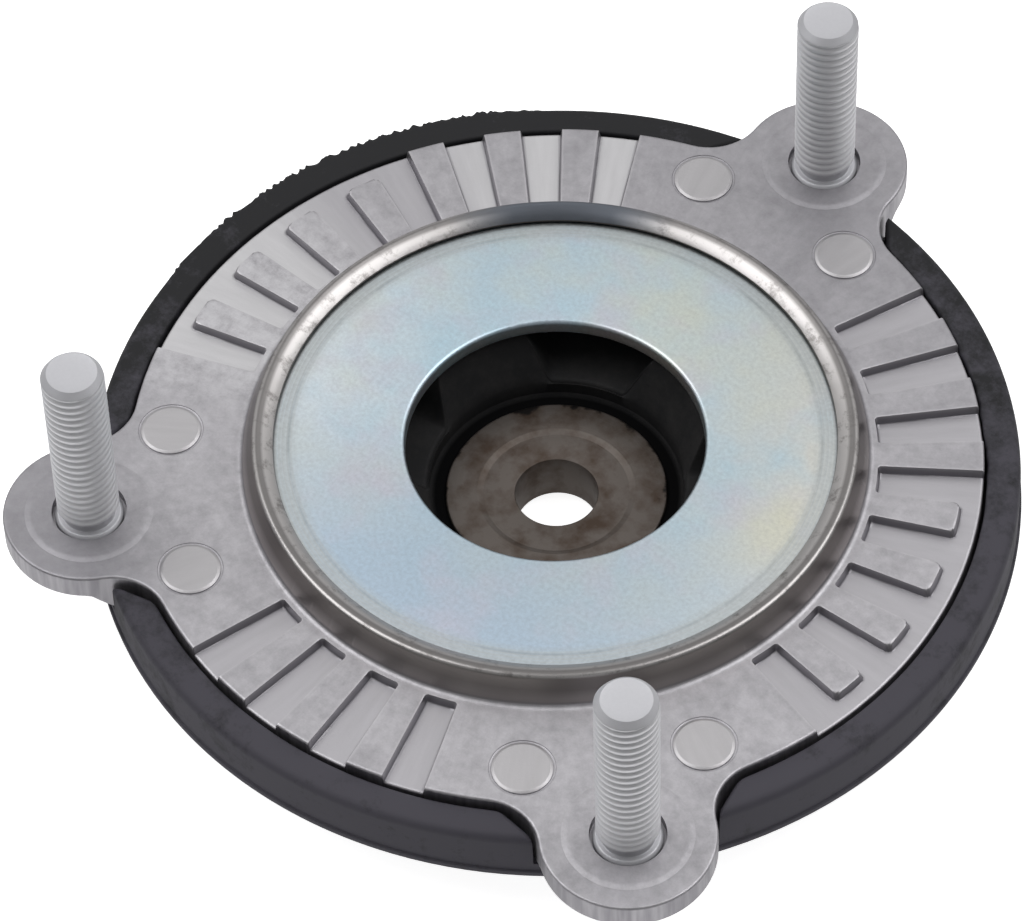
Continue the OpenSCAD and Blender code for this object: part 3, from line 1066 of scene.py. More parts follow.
@dataclass
class FacePattern:
    """Recesses and pads pressed into the casting's face round the collar."""

    pitch: float = 11.0
    recess: float = 5.6
    depth: float = 1.5
    inner_r: float = 51.7
    lone_angle: float = 90.0
    first: float = 24.7
    long_count: int = 8
    short_count: int = 4
    full_pads: int = 3
    short_pad_r: float = 65.3
    corner_r: float = 0.5
    pad_corner_r: float = 1.2
    strip_inset: float = 1.5
    slope_start: float = -0.18
    slope_end: float = 0.22

    def middles(self) -> np.ndarray:
        """Middles of all recesses: two mirrored rows from the lone stud and a short row opposite it.

        Returns:
            Angle of each middle.
        """
        long_side = self.first + self.recess / 2.0 + np.arange(self.long_count) * self.pitch
        short_row = 180.0 + (np.arange(self.short_count) - (self.short_count - 1) / 2.0) * self.pitch
        return (self.lone_angle + np.concatenate([long_side, -long_side, short_row])) % 360.0

    def edges(self) -> tuple[np.ndarray, np.ndarray]:
        """Angles at which recesses start and end."""
        middles = self.middles()
        return middles - self.recess / 2.0, middles + self.recess / 2.0

    def inset(self, radius: np.ndarray, angle: np.ndarray) -> np.ndarray:
        """Distance inside the outline of the recesses, below zero on the pads.

        A recess is a ring sector with rounded inner corners. The low strip outside the shorter pads
        is a wider sector, joined to the recesses by fillets.

        Args:
            radius: Distance from the rod axis.
            angle: Angle about it.

        Returns:
            The signed distance in millimetres, level at the corner radius well inside a recess.
        """
        away = np.min(np.abs(turn_between(angle[..., None], self.middles())), axis=-1)
        from_side = radius * np.radians(self.recess / 2.0 - away)
        recess = self.corner_field(from_side, radius - self.inner_r)
        last = self.first + (self.long_count - 1) * self.pitch + self.recess
        start = self.first + self.full_pads * self.pitch
        off_lone = np.abs(turn_between(angle, self.lone_angle))
        from_end = radius * np.radians((last - start) / 2.0 - np.abs(off_lone - (last + start) / 2.0))
        strip = self.corner_field(from_end - self.strip_inset, radius - self.short_pad_r)
        return smooth_max(recess, strip, self.pad_corner_r)

    def corner_field(self, first: np.ndarray, second: np.ndarray) -> np.ndarray:
        """Distance inside two crossing sides whose corner is rounded."""
        short = np.hypot(np.maximum(self.corner_r - first, 0.0), np.maximum(self.corner_r - second, 0.0))
        return self.corner_r - short

    def drop(self, radius: np.ndarray, angle: np.ndarray) -> np.ndarray:
        """Depth of the face below its pads, with rounded edges and feet."""
        return self.depth * smooth_step(self.slope_start, self.slope_end, self.inset(radius, angle))


@dataclass
class CastHousing:
    """Die-cast flange, cup and lugs, with the lip that is rolled over the plate's edge.

    Fields that end in columns or rows say where the grid is fine: across a recess's edge, as shares of
    the way from the outline to the ring, and in steps from the strip's and the recesses' inner radius.
    Rubbed is the strength and the width of an edge's tone, rubbed wear with a painted highlight, and the
    field after rubbed_margin is the same for a foot's painted shade; wall_lean is the upright part of a
    face's normal between full wall and none.
    """

    studs: StudPlaces
    lug: LugOutline
    reach: Reach
    plate: Reach
    bushing: Reach
    pattern: FacePattern = field(default_factory=FacePattern)
    face_drop: float = 3.2
    flange_t: float = 7.8
    lug_t: float = 4.5
    gusset_r: float = 74.4
    collar_wall: float = 2.8
    collar_fillet: float = 1.0
    lip_shoulder_r: float = 48.35
    lip_crown_r: float = 47.75
    lip_middle_r: float = 46.35
    lip_falls: tuple[float, float] = (0.42, 1.35)
    lip_cover: float = 2.2
    lip_gap: float = 0.38
    crevice_r: float = 46.5
    cup_wall: float = 4.5
    cup_floor_t: float = 4.0
    opening_r: float = 27.5
    cup_bevel: float = 1.2
    edge_r: float = 0.45
    ring_r: float = 66.1
    seat_r: float = 9.4
    seat_h: float = 0.16
    mark_r: float = 4.85
    mark_h: float = 0.22
    mark_circle_r: float = 62.0
    mark_angle: float = 13.2
    moat_w: float = 0.4
    moat_depth: float = 0.14
    shank_r: float = 5.5
    gap_r: float = 6.0
    gap_depth: float = 1.5
    pocket_r: float = 8.0
    seat_slope: float = 0.9
    spot_face: float = 0.4
    boss_root: float = 1.5
    tool_clear: float = 3.0
    lug_columns: int = 61
    lug_margin: float = 0.3
    plain_step: float = 1.5
    tool_columns: int = 72
    edge_columns: tuple[float, ...] = (-1.0, -0.6, -0.28, -0.18, -0.09, 0.0, 0.09, 0.18, 0.28, 0.6)
    fan_rows: tuple[float, ...] = (0.06, 0.14, 0.24, 0.35, 0.46, 0.57, 0.68, 0.79, 0.9, 1.0)
    strip_rows: tuple[float, ...] = (0.5, 0.25, 0.16, 0.08, 0.0, -0.08, -0.16, -0.5, -1.0)
    field_rows: tuple[float, float, int] = (-2.2, 2.0, 5)
    end_rows: tuple[float, ...] = (0.8, 0.5, 0.25, 0.16, 0.08, 0.0, -0.08, -0.16, -0.3)
    rubbed: tuple[float, float] = (0.6, 0.25)
    rubbed_drop: float = 0.5
    rubbed_margin: float = 1.0
    foot_shade: tuple[float, float] = (0.8, 0.27)
    foot_shade_drop: float = 0.7
    wall_lean: tuple[float, float] = (0.4, 0.8)

    def __post_init__(self) -> None:
        """Works out the levels that the sizes give."""
        self.face_z = self.plate.high - self.face_drop
        self.bottom_z = self.face_z - self.flange_t
        self.lug_z = self.face_z - self.lug_t
        self.collar_r = self.plate.radius + self.collar_wall

    def columns(self) -> tuple[np.ndarray, np.ndarray, np.ndarray]:
        """Angles of the grid's columns, with the outline's points and normals at them.

        Columns lie close together at the recesses' edges, follow the outline by its length on the
        lugs and are evenly spaced elsewhere.

        Returns:
            Angles in degrees, points in the plane and outward normals.
        """
        spread = np.degrees(np.array(self.edge_columns) / self.ring_r)
        starts, ends = self.pattern.edges()
        close = np.concatenate([starts[:, None] + spread, ends[:, None] - spread]).ravel() % 360.0
        plain = filled(close, self.plain_step)
        plain = plain[np.abs(self.studs.nearest(plain)) > self.lug.half_angle + self.lug_margin]
        flange = polar(self.reach.radius, plain, 0.0)[:, :2]
        share = np.linspace(-1.0, 1.0, self.lug_columns)
        place, normal = self.lug.points(share)
        on_lug = (self.studs.angles[:, None] + share * self.lug.half_angle).ravel() % 360.0
        lug_place = turn_points(place, self.studs.angles[:, None]).reshape(-1, 2)
        lug_normal = turn_points(normal, self.studs.angles[:, None]).reshape(-1, 2)
        angle = np.concatenate([plain, on_lug])
        order = np.argsort(angle)
        points = np.concatenate([flange, lug_place])[order]
        normals = np.concatenate([flange / self.reach.radius, lug_normal])[order]
        return angle[order], points, normals

    def top_level(self, plan: np.ndarray) -> np.ndarray:
        """Level of the face at points in the plane: the pads' level less the recesses' depth."""
        return self.face_z - self.pattern.drop(*to_polar(plan))

    def under_level(self, plan: np.ndarray) -> np.ndarray:
        """Level of the underside: flat under the flange, then a 45 degree gusset up to the lug."""
        radius = np.hypot(plan[..., 0], plan[..., 1])
        return np.clip(self.bottom_z + radius - self.gusset_r, self.bottom_z, self.lug_z)

    def centre_profile(self) -> np.ndarray:
        """Turned stretch of the casting, from the foot of the collar to the cup's wall under the flange.

        The lip's outer flank leans in to a rounded crown, from which its top falls inwards, ever steeper, to
        a thin nose that stands a little off the plate, so that a dark crevice runs round under it.

        Returns:
            Radius and level of each row.
        """
        fillet = self.collar_fillet
        turn = np.radians(np.linspace(270.0, 180.0, 6))
        foot = np.stack(
            [
                self.collar_r + fillet * (1.0 + np.cos(turn)),
                self.face_z + fillet * (1.0 + np.sin(turn)),
            ],
            axis=1,
        )
        top, gap_z = self.reach.high, self.plate.high + self.lip_gap
        inner_r = self.plate.radius - self.lip_cover
        floor_z = self.reach.low + self.cup_floor_t
        cup_r = self.bushing.radius + self.cup_wall
        centre = rounded(
            [
                (self.collar_r, self.face_z + fillet, 0.0),
                (self.lip_shoulder_r, top - 0.3, 0.9),
                (self.lip_crown_r, top, 0.8),
                (self.lip_middle_r, top - self.lip_falls[0], 6.0),
                (inner_r, top - self.lip_falls[1], 0.3),
                (inner_r, gap_z, 0.08),
                (self.crevice_r, gap_z, 0.0),
                (self.crevice_r, self.plate.high, 0.0),
                (self.plate.radius, self.plate.high, 0.0),
                (self.plate.radius, self.plate.low, 0.0),
                (self.bushing.radius, self.plate.low, 0.3),
                (self.bushing.radius, floor_z, 0.8),
                (self.opening_r, floor_z, 0.4),
                (self.opening_r, self.reach.low, 0.4),
                (cup_r - self.cup_bevel, self.reach.low, 0.3),
                (cup_r, self.reach.low + self.cup_bevel, 0.3),
                (cup_r, self.bottom_z, 1.0),
                (self.collar_r + fillet, self.bottom_z, 0.0),
            ],
            steps=5,
        )
        return np.concatenate([foot, centre])

    def share_at(self, outer: np.ndarray, inner: np.ndarray, radius: float) -> np.ndarray:
        """Share of the way from inner to outer points at which a radius is crossed.

        Args:
            outer: Points at the outline.
            inner: Points on the ring inside it.
            radius: Distance from the rod axis.

        Returns:
            The larger root of the quadratic in the share, held between 0 and 1.
        """
        step = outer - inner
        square = np.sum(step * step, axis=1)
        middle = np.sum(step * inner, axis=1)
        rest = np.sum(inner * inner, axis=1) - radius ** 2
        root = np.sqrt(np.maximum(middle ** 2 - square * rest, 0.0))
        return np.clip((root - middle) / square, 0.0, 1.0)

    def skin(self) -> Skin:
        """Closed grid of the whole casting before its bosses and holes.

        Rows start at the outline's lower edge, go up the rim, in over the face, round the lip and the
        cup and back out under the flange. Between the outline and a ring just inside it the rows fan
        out, so that they fill the lugs.

        Returns:
            The grid, closed both ways.
        """
        angle, outline, normal = self.columns()
        turn = np.radians(np.linspace(0.0, 90.0, 4))[:, None]
        lower = outline - normal * (self.edge_r * (1.0 - np.sin(turn)))[..., None]
        lower_z = self.under_level(outline) + self.edge_r * (1.0 - np.cos(turn))
        upper = outline - normal * (self.edge_r * (1.0 - np.cos(turn)))[..., None]
        upper_z = self.top_level(upper) - self.edge_r * (1.0 - np.sin(turn))
        ring = polar(self.ring_r, angle, 0.0)[:, :2]
        fan = upper[-1] + (ring - upper[-1]) * np.array(self.fan_rows)[:, None, None]
        strip_r, end_r = self.pattern.short_pad_r, self.pattern.inner_r
        from_strip, from_end, count = self.field_rows
        between = np.linspace(strip_r + from_strip, end_r + from_end, count)
        rows = np.concatenate([strip_r + np.array(self.strip_rows), between, end_r + np.array(self.end_rows)])
        face = polar(rows[:, None], angle, 0.0)[..., :2]
        centre = self.centre_profile()
        turned_rows = polar(centre[:, :1], angle, centre[:, 1:])
        creases = (self.gusset_r, self.gusset_r + self.lug_z - self.bottom_z)
        crossings = [self.share_at(lower[0], ring, crease) for crease in creases]
        shares = np.stack([np.zeros_like(angle), *crossings])
        under = ring + (lower[0] - ring) * shares[..., None]
        layers = [
            np.dstack([lower, lower_z]),
            np.dstack([upper, upper_z]),
            np.dstack([fan, self.top_level(fan)]),
            np.dstack([face, self.top_level(face)]),
            turned_rows,
            np.dstack([under, self.under_level(under)]),
        ]
        return Skin(np.concatenate(layers))

    def tool(self, corners: list[tuple[float, float, float]], centre: np.ndarray) -> Skin:
        """Turned tool about an upright axis.

        Args:
            corners: Radius, level and rounding of each corner, upwards.
            centre: Place of the axis.

        Returns:
            The grid, from pole to pole.
        """
        low, high = corners[0][1], corners[-1][1]
        profile = rounded([(0.0, low, 0.0), *corners, (0.0, high, 0.0)], 4)
        return turned(profile, self.tool_columns, wrap=False, centre=centre)

    def mark_centres(self) -> np.ndarray:
        """Places of the ejector marks, one each side of every stud."""
        angle = (self.studs.angles[:, None] + np.array([-self.mark_angle, self.mark_angle])).ravel()
        return polar(self.mark_circle_r, angle, 0.0)

    def build(self) -> bpy.types.Object:
        """Makes the casting, then its ejector marks, stud seats and stud holes.

        Returns:
            The piece, with flat faces shaded flat.
        """
        piece = make_object("housing_casting", [self.skin()])
        studs, marks = self.studs.centres(), self.mark_centres()
        root_z, clear_z = self.face_z - self.boss_root, self.face_z + self.tool_clear
        moat_r = self.mark_r + self.moat_w
        moat_z = self.face_z - self.moat_depth
        moat = [(moat_r, moat_z, 0.15), (moat_r, clear_z, 0.0)]
        join_tool(piece, [self.tool(moat, place) for place in marks], Cut.REMOVE)
        mark_z = self.face_z + self.mark_h
        disc = [
            (self.mark_r, root_z, 0.0),
            (self.mark_r, mark_z - 0.2, 0.1),
            (self.mark_r - 0.5, mark_z, 0.4),
        ]
        seat_z = self.face_z + self.seat_h
        seat = [
            (self.seat_r + self.seat_slope, root_z, 0.0),
            (self.seat_r + self.seat_slope, self.face_z + 0.02, 0.0),
            (self.seat_r, seat_z, 4.0),
        ]
        bosses = [self.tool(disc, place) for place in marks] + [self.tool(seat, place) for place in studs]
        join_tool(piece, bosses, Cut.ADD)
        pocket_z = self.lug_z + self.spot_face
        gap_z = self.face_z - self.gap_depth
        hole = [
            (self.pocket_r, self.bottom_z - self.tool_clear, 0.0),
            (self.pocket_r, pocket_z, 0.2),
            (self.shank_r, pocket_z, 0.0),
            (self.shank_r, gap_z, 0.0),
            (self.gap_r, gap_z, 0.0),
            (self.gap_r, clear_z, 0.0),
        ]
        join_tool(piece, [self.tool(hole, place) for place in studs], Cut.REMOVE)
        weighted = piece.modifiers.new("flat_faces", "WEIGHTED_NORMAL")
        weighted.keep_sharp = True
        return piece

    def dress(self, piece: bpy.types.Object, finish: CastAluminium) -> None:
        """Marks edges, feet, walls, ejector marks and the crevice under the lip that takes painted shade, and
        finishes the casting.

        An edge's tone, rubbed wear with a painted highlight, and a foot's painted shade fade with the
        distance from where the recess's slope starts and ends.

        Args:
            piece: The casting.
            finish: Its finish.
        """
        place = read_vectors(piece.data.vertices, "co") / MM
        radius, angle = to_polar(place)
        inset, drop = self.pattern.inset(radius, angle), self.face_z - place[:, 2]
        # The edge tone is rubbed wear with a painted highlight along the pads' upper edges.
        full, width = self.rubbed
        edge = full - full * np.minimum(np.abs(inset - self.pattern.slope_start) / width, 1.0)
        on_face = (drop < self.rubbed_drop) & (radius > self.pattern.inner_r - self.rubbed_margin)
        write_attribute(piece, "edge", np.where(on_face, edge, 0.0))
        # The foot tone is painted shade where the recess walls meet the floor.
        full, width = self.foot_shade
        foot = full - full * np.minimum(np.abs(inset - self.pattern.slope_end) / width, 1.0)
        in_recess = (drop > self.foot_shade_drop) & (drop < self.pattern.depth + SLACK)
        write_attribute(piece, "foot", np.where(in_recess, foot, 0.0))
        faces = piece.data.polygons
        centre, normal = read_vectors(faces, "center") / MM, read_vectors(faces, "normal")
        level = centre[:, 2]
        # The wall share lays the darker wall colour, partly painted shade, on upright faces.
        write_attribute(piece, "wall", 1.0 - smooth_step(*self.wall_lean, np.abs(normal[:, 2])), "FACE")
        off_mark = np.linalg.norm(centre[:, None, :2] - self.mark_centres()[:, :2], axis=2).min(axis=1)
        write_attribute(piece, "mark", (off_mark < self.mark_r) & (level > self.face_z + SLACK), "FACE")
        # Faces in the crevice under the lip take painted shade.
        in_crevice = (level > self.plate.high - SLACK) & (level < self.plate.high + self.lip_gap + SLACK)
        write_attribute(piece, "crevice_shade", in_crevice & (to_polar(centre)[0] < self.plate.radius), "FACE")
        hand_over(piece, "housing", finish.material())


@dataclass
class StudSet:
    """Three studs with rolled threads, pressed into the lugs from below."""

    studs: StudPlaces
    reach: Reach
    housing: CastHousing
    thread_r: float = 5.0
    root_r: float = 4.6
    neck_r: float = 4.2
    neck_h: float = 1.4
    pitch: float = 1.5
    tip_chamfer: float = 1.0
    tip_dish: float = 0.2
    shank_drop: float = 0.1
    shank_bevel: float = 0.5
    head_r: float = 7.5
    crest_share: float = 0.75
    run_out: float = 0.8
    root_shade_tone: float = 0.5
    pitch_rows: int = 12
    columns: int = 56
    sharp_deg: float = 50.0

    def thread(self, low: float, high: float, angle: np.ndarray) -> np.ndarray:
        """Helical rows of the thread between two levels.

        The level of a row climbs by the pitch in one turn, and its radius follows a rounded trapezoid
        along the pitch. Rows are held between the two levels, run out of the neck at the foot and stay
        below the tip's chamfer.

        Args:
            low: Level at which the thread starts.
            high: Level of the stud's tip.
            angle: Angle of each column, with the first repeated at the end.

        Returns:
            Grid of points about the stud's axis.
        """
        turns = int(math.ceil((high - low) / self.pitch)) + 1
        count = np.arange(turns * self.pitch_rows + 1)[:, None] / self.pitch_rows
        climb = self.pitch * (count - 1.0 + angle / 360.0)
        level = np.clip(low + climb, low, high)
        wave = smooth_step(0.0, self.crest_share, np.abs(2.0 * (count % 1.0) - 1.0))
        ridge = self.root_r + (self.thread_r - self.root_r) * wave
        radius = self.neck_r + (ridge - self.neck_r) * smooth_step(0.0, self.run_out, climb)
        chamfer = self.thread_r - self.tip_chamfer + (high - level)
        return polar(np.minimum(radius, chamfer), angle, level)

    def skin(self, centre: np.ndarray) -> Skin:
        """Grid of one stud: head, shank, neck, thread and tip, from pole to pole.

        Args:
            centre: Place of the stud's axis.

        Returns:
            The grid, with its first column repeated at the end so that the helix can close.
        """
        angle = np.linspace(0.0, 360.0, self.columns + 1)
        head_top = self.housing.lug_z + self.housing.spot_face
        shank_top = self.housing.face_z - self.shank_drop
        shank_r = self.housing.shank_r
        low = rounded(
            [
                (0.0, self.reach.low, 0.0),
                (self.head_r, self.reach.low, 0.4),
                (self.head_r, head_top, 0.2),
                (shank_r, head_top, 0.0),
                (shank_r, shank_top - self.shank_bevel, 0.4),
                (shank_r - self.shank_bevel, shank_top, 0.4),
                (self.neck_r, shank_top, 0.15),
                (self.neck_r, shank_top + self.neck_h, 0.0),
            ],
            steps=4,
        )
        tip_r = self.thread_r - self.tip_chamfer
        share = np.array([0.92, 0.8, 0.55, 0.25, 0.0])
        tip = np.stack([tip_r * share, self.reach.high - self.tip_dish * (1.0 - share ** 4)], axis=1)
        rows = np.concatenate(
            [
                polar(low[:, :1], angle, low[:, 1:]),
                self.thread(shank_top + self.neck_h, self.reach.high, angle),
                polar(tip[:, :1], angle, tip[:, 1:]),
            ]
        )
        return Skin(rows + centre, rows_wrap=False, columns_wrap=False)

    def build(self) -> bpy.types.Object:
        """Makes the three studs as one piece."""
        skins = [self.skin(centre) for centre in self.studs.centres()]
        return make_object("threaded_studs", skins, self.sharp_deg)

    def dress(self, piece: bpy.types.Object, finish: PlatedStudSteel) -> None:
        """Marks the depth of the thread and the flat tips, and gives the studs their finish.

        The depth is the share of the way from the crest to the root, toned down on the thread and full
        on the plain surfaces; on the thread it lays painted shade in the grooves.

        Args:
            piece: The studs.
            finish: Their finish.
        """
        place = read_vectors(piece.data.vertices, "co") / MM
        radius = np.linalg.norm(place[:, None, :2] - self.studs.centres()[:, :2], axis=2).min(axis=1)
        foot_z, tip_z = self.housing.face_z + self.shank_bevel, self.reach.high - self.tip_chamfer
        depth = np.clip((self.thread_r - radius) / (self.thread_r - self.root_r), 0.0, 1.0)
        threaded = (place[:, 2] > foot_z) & (place[:, 2] < tip_z)
        # Painted shade towards the thread's roots; plain surfaces take the root tone in full.
        write_attribute(piece, "depth", np.where(threaded, self.root_shade_tone * depth, 1.0))
        hand_over(piece, "mounting_studs", finish.material())


@dataclass
class CoverPlate:
    """Pressed steel plate with a round hole, held by the rolled lip."""

    reach: Reach
    hole_r: float = 24.0
    edge_r: float = 0.5
    coined_r: float = 0.8
    columns: int = 240

    def build(self) -> bpy.types.Object:
        """Makes the plate as a turned section with rounded edges.

        Returns:
            The piece.
        """
        profile = rounded(
            [
                (self.reach.radius, self.reach.low, self.edge_r),
                (self.reach.radius, self.reach.high, self.edge_r),
                (self.hole_r, self.reach.high, self.coined_r),
                (self.hole_r, self.reach.low, self.edge_r),
            ],
            steps=7,
        )
        return make_object("zinc_cover_plate", [turned(profile, self.columns)])

    def dress(self, piece: bpy.types.Object, finish: PassivatedZinc) -> None:
        """Gives the plate its finish."""
        hand_over(piece, "cover_plate", finish.material())


@dataclass
class RodCore:
    """Turned steel core with the nut seat, the rod bore and a disc inside the rubber."""

    reach: Reach
    bore_r: float = 6.7
    bevel: float = 0.8
    seat_r: float = 12.3
    seat_slope: float = 0.5
    rim_r: float = 17.9
    disc_low: float = -4.5
    disc_high: float = -1.0
    foot_r: float = 16.0
    columns: int = 180

    def build(self) -> bpy.types.Object:
        """Makes the core as a turned section with broken edges.

        Returns:
            The piece.
        """
        profile = rounded(
            [
                (self.foot_r, self.reach.low, 0.4),
                (self.foot_r, self.disc_low, 0.0),
                (self.reach.radius, self.disc_low, 0.5),
                (self.reach.radius, self.disc_high, 0.5),
                (self.rim_r, self.disc_high, 0.0),
                (self.rim_r, self.reach.high, 0.3),
                (self.seat_r + self.seat_slope, self.reach.high, 0.4),
                (self.seat_r - self.seat_slope, 0.0, 0.4),
                (self.bore_r, 0.0, 0.2),
                (self.bore_r, self.reach.low + self.bevel, 0.0),
                (self.bore_r + self.bevel, self.reach.low, 0.0),
            ],
            steps=4,
        )
        return make_object("rod_core_turned", [turned(profile, self.columns)])

    def dress(self, piece: bpy.types.Object, finish: PhosphatedSteel) -> None:
        """Gives the core its finish."""
        hand_over(piece, "rod_core", finish.material())


@dataclass
class BushingRubber:
    """Rubber between cup and core, with lobes that reach up to the plate."""

    reach: Reach
    core: RodCore
    throat_r: float = 20.5
    throat_z: float = -0.2
    saddle_z: float = 3.0
    mouth_r: float = 24.8
    lobe_count: int = 4
    lobe_angle: float = 46.0
    first_lobe: float = 67.0
    flank_angle: float = 12.0
    mouth_round: float = 0.7
    lip_drop: float = 0.6
    groove_bevel: float = 0.4
    columns: int = 288

    def lobe(self, angle: np.ndarray) -> np.ndarray:
        """How far columns belong to a lobe, by the turn from the nearest lobe's middle.

        Args:
            angle: Angle of each column.

        Returns:
            A share for each, from 0 between lobes to 1 on one.
        """
        pitch = 360.0 / self.lobe_count
        off = np.abs((angle - self.first_lobe + pitch / 2.0) % pitch - pitch / 2.0)
        half = self.lobe_angle / 2.0
        return 1.0 - smooth_step(half - self.flank_angle / 2.0, half + self.flank_angle / 2.0, off)

    def build(self) -> bpy.types.Object:
        """Makes the rubber as a turned section whose top follows the lobes.

        The top is at the saddles' level plus the lobes' rise, and the mouth leans out from the groove
        at the core's rim as it rises.

        Returns:
            The piece.
        """
        angle = np.arange(self.columns) * 360.0 / self.columns
        top = self.saddle_z + (self.reach.high - self.saddle_z) * self.lobe(angle)
        lip_z = self.saddle_z - self.lip_drop
        rise = (top - lip_z) / (self.reach.high - lip_z)
        mouth = self.throat_r + (self.mouth_r - self.throat_r) * rise
        bend = self.mouth_round
        turn = np.radians(np.linspace(0.0, 90.0, 5))[:, None]
        walls = [
            polar(self.reach.radius, angle, self.reach.low)[None],
            polar(self.reach.radius, angle, top)[None],
            polar(mouth + bend * (1.0 - np.sin(turn)), angle, top - bend * (1.0 - np.cos(turn))),
        ]
        share = np.linspace(0.35, 1.0, 4)[:, None]
        lean_z = top - bend + (lip_z - top + bend) * share
        lean = polar(mouth + (self.throat_r - mouth) * share, angle, lean_z)
        groove = np.array(
            [
                (self.throat_r, self.throat_z + self.groove_bevel),
                (self.throat_r - self.groove_bevel, self.throat_z),
                (self.core.rim_r, self.throat_z),
                (self.core.rim_r, self.core.disc_high),
                (self.core.reach.radius, self.core.disc_high),
                (self.core.reach.radius, self.core.disc_low),
                (self.core.foot_r, self.core.disc_low),
                (self.core.foot_r, self.reach.low),
            ]
        )
        rows = walls + [lean, polar(groove[:, :1], angle, groove[:, 1:])]
        return make_object("bushing_moulded", [Skin(np.concatenate(rows))])

    def dress(self, piece: bpy.types.Object, finish: MouldedRubber) -> None:
        """Gives the bushing its finish."""
        hand_over(piece, "bushing_rubber", finish.material())


@dataclass
class SpringIsolator:
    """Rubber ring round the flange, notched for the lugs, with the spring's seat below."""

    studs: StudPlaces
    lug: LugOutline
    reach: Reach
    flange_z: float
    rim_inner_r: float = 69.1
    rim_r: float = 74.4
    foot_z: float = 0.2
    bead_h: float = 1.2
    seat_z: float = -4.0
    seat_outer_r: float = 71.0
    bore_r: float = 49.3
    collar_t: float = 4.0
    notch_gap: float = 0.6
    rim_round: float = 1.4
    flash_start: float = 127.0
    flash_full: tuple[float, float] = (134.0, 181.0)
    flash_end: float = 187.0
    flash_reach: float = 1.2
    flash_pitch: float = 0.55
    flash_step: float = 0.2
    flash_base: float = 0.3
    flash_zone: tuple[float, float] = (0.4, 0.85)
    tooth_width: tuple[float, float] = (0.25, 0.75)
    tooth_height: tuple[float, float] = (0.1, 1.0)
    lap_middle: float = 50.0
    lap_reach: float = 0.45
    lap_fade: tuple[float, float] = (14.0, 24.0)
    lap_waves: tuple[float, float] = (65.0, 38.0)
    lap_shift: float = 40.0
    lap_zone: tuple[float, float] = (0.6, 1.2)
    wall_columns: tuple[float, ...] = (-0.9, -0.45, -0.2, -0.04, 0.04, 0.2, 0.4, 0.7, 1.1)
    wall_half: float = 0.05
    brow_h: float = 0.5
    brow_w: float = 0.8
    settle_angle: float = 12.0
    plain_step: float = 1.5
    seed: int = 7

    def columns(self) -> np.ndarray:
        """Angles of the columns, close together at the notches' walls and along the torn flash.

        Returns:
            The angles, sorted.
        """
        wall = np.degrees(np.array(self.wall_columns) / self.rim_r)
        right = self.studs.angles[:, None] + self.lug.half_angle + wall
        left = self.studs.angles[:, None] - self.lug.half_angle - wall
        flash = np.arange(self.flash_start, self.flash_end, self.flash_step)
        close = np.concatenate([right.ravel(), left.ravel(), flash]) % 360.0
        return np.sort(filled(close, self.plain_step))

    def ceiling(self, angle: np.ndarray) -> np.ndarray:
        """Highest level at each column: the notch's floor under a lug, the rim's top elsewhere.

        A steep step at the lug's side joins the two, with a rounded brow above it.

        Args:
            angle: Angle of each column.

        Returns:
            Level of each column.
        """
        past = (np.abs(self.studs.nearest(angle)) - self.lug.half_angle) * math.radians(self.rim_r)
        wall = smooth_step(-self.wall_half, self.wall_half, past)
        brow = self.brow_h * (1.0 - smooth_step(0.0, self.brow_w, past))
        return self.flange_z + (self.reach.high - self.flange_z - brow) * wall

    def warp(self, angle: np.ndarray, radius: np.ndarray) -> np.ndarray:
        """Angles shifted so that the notches' walls follow the lugs' outline at every radius.

        Columns inside a notch close up towards the stud, and those just outside it spread to fill in.

        Args:
            angle: Angle of each column.
            radius: Radius of each row, as a column of the same grid.

        Returns:
            Angle of each point of the grid.
        """
        off = self.studs.nearest(angle)
        stud = angle - off
        half, settle = self.lug.half_angle, self.lug.half_angle + self.settle_angle
        held = np.clip(radius, self.rim_inner_r, self.rim_r + self.bead_h)
        edge = self.lug.edge_angle(held, self.notch_gap)
        within = np.abs(off) * edge / half
        beyond = edge + (np.abs(off) - half) * (settle - edge) / (settle - half)
        moved = np.where(np.abs(off) < half, within, np.where(np.abs(off) < settle, beyond, np.abs(off)))
        return stud + np.sign(off) * moved

    def flash(self, angle: np.ndarray) -> np.ndarray:
        """Ragged width of the torn flash along the rim's outer top edge.

        Pointed teeth of random place, width and height stand on a swell that fades at both ends, and the
        highest one at each angle counts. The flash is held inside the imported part's box.

        Args:
            angle: Angle of each column.

        Returns:
            Width in millimetres.
        """
        rng = np.random.default_rng(self.seed)
        count = int((self.flash_end - self.flash_start) / self.flash_pitch)
        tooth = rng.uniform(self.flash_start, self.flash_end, count)
        width, height = rng.uniform(*self.tooth_width, count), rng.uniform(*self.tooth_height, count)
        teeth = np.max(height * np.clip(1.0 - np.abs(angle[:, None] - tooth) / width, 0.0, 1.0), axis=1)
        swell = smooth_step(self.flash_start, self.flash_full[0], angle)
        swell = swell * (1.0 - smooth_step(self.flash_full[1], self.flash_end, angle))
        room = self.reach.radius / np.maximum(np.abs(np.cos(np.radians(angle))), 0.5) - self.rim_r
        ragged = self.flash_base + (1.0 - self.flash_base) * teeth
        return np.minimum(self.flash_reach * swell * ragged, room)

    def lap(self, angle: np.ndarray) -> np.ndarray:
        """Width by which the rim's inner edge wavers towards the flange, as a product of two sines.

        Args:
            angle: Angle of each column.

        Returns:
            Width in millimetres.
        """
        fade = 1.0 - smooth_step(*self.lap_fade, np.abs(turn_between(angle, self.lap_middle)))
        short, long = self.lap_waves
        waves = np.sin(np.radians(angle * short)) * np.sin(np.radians(angle * long + self.lap_shift))
        return self.lap_reach * fade * (0.5 + 0.5 * waves)

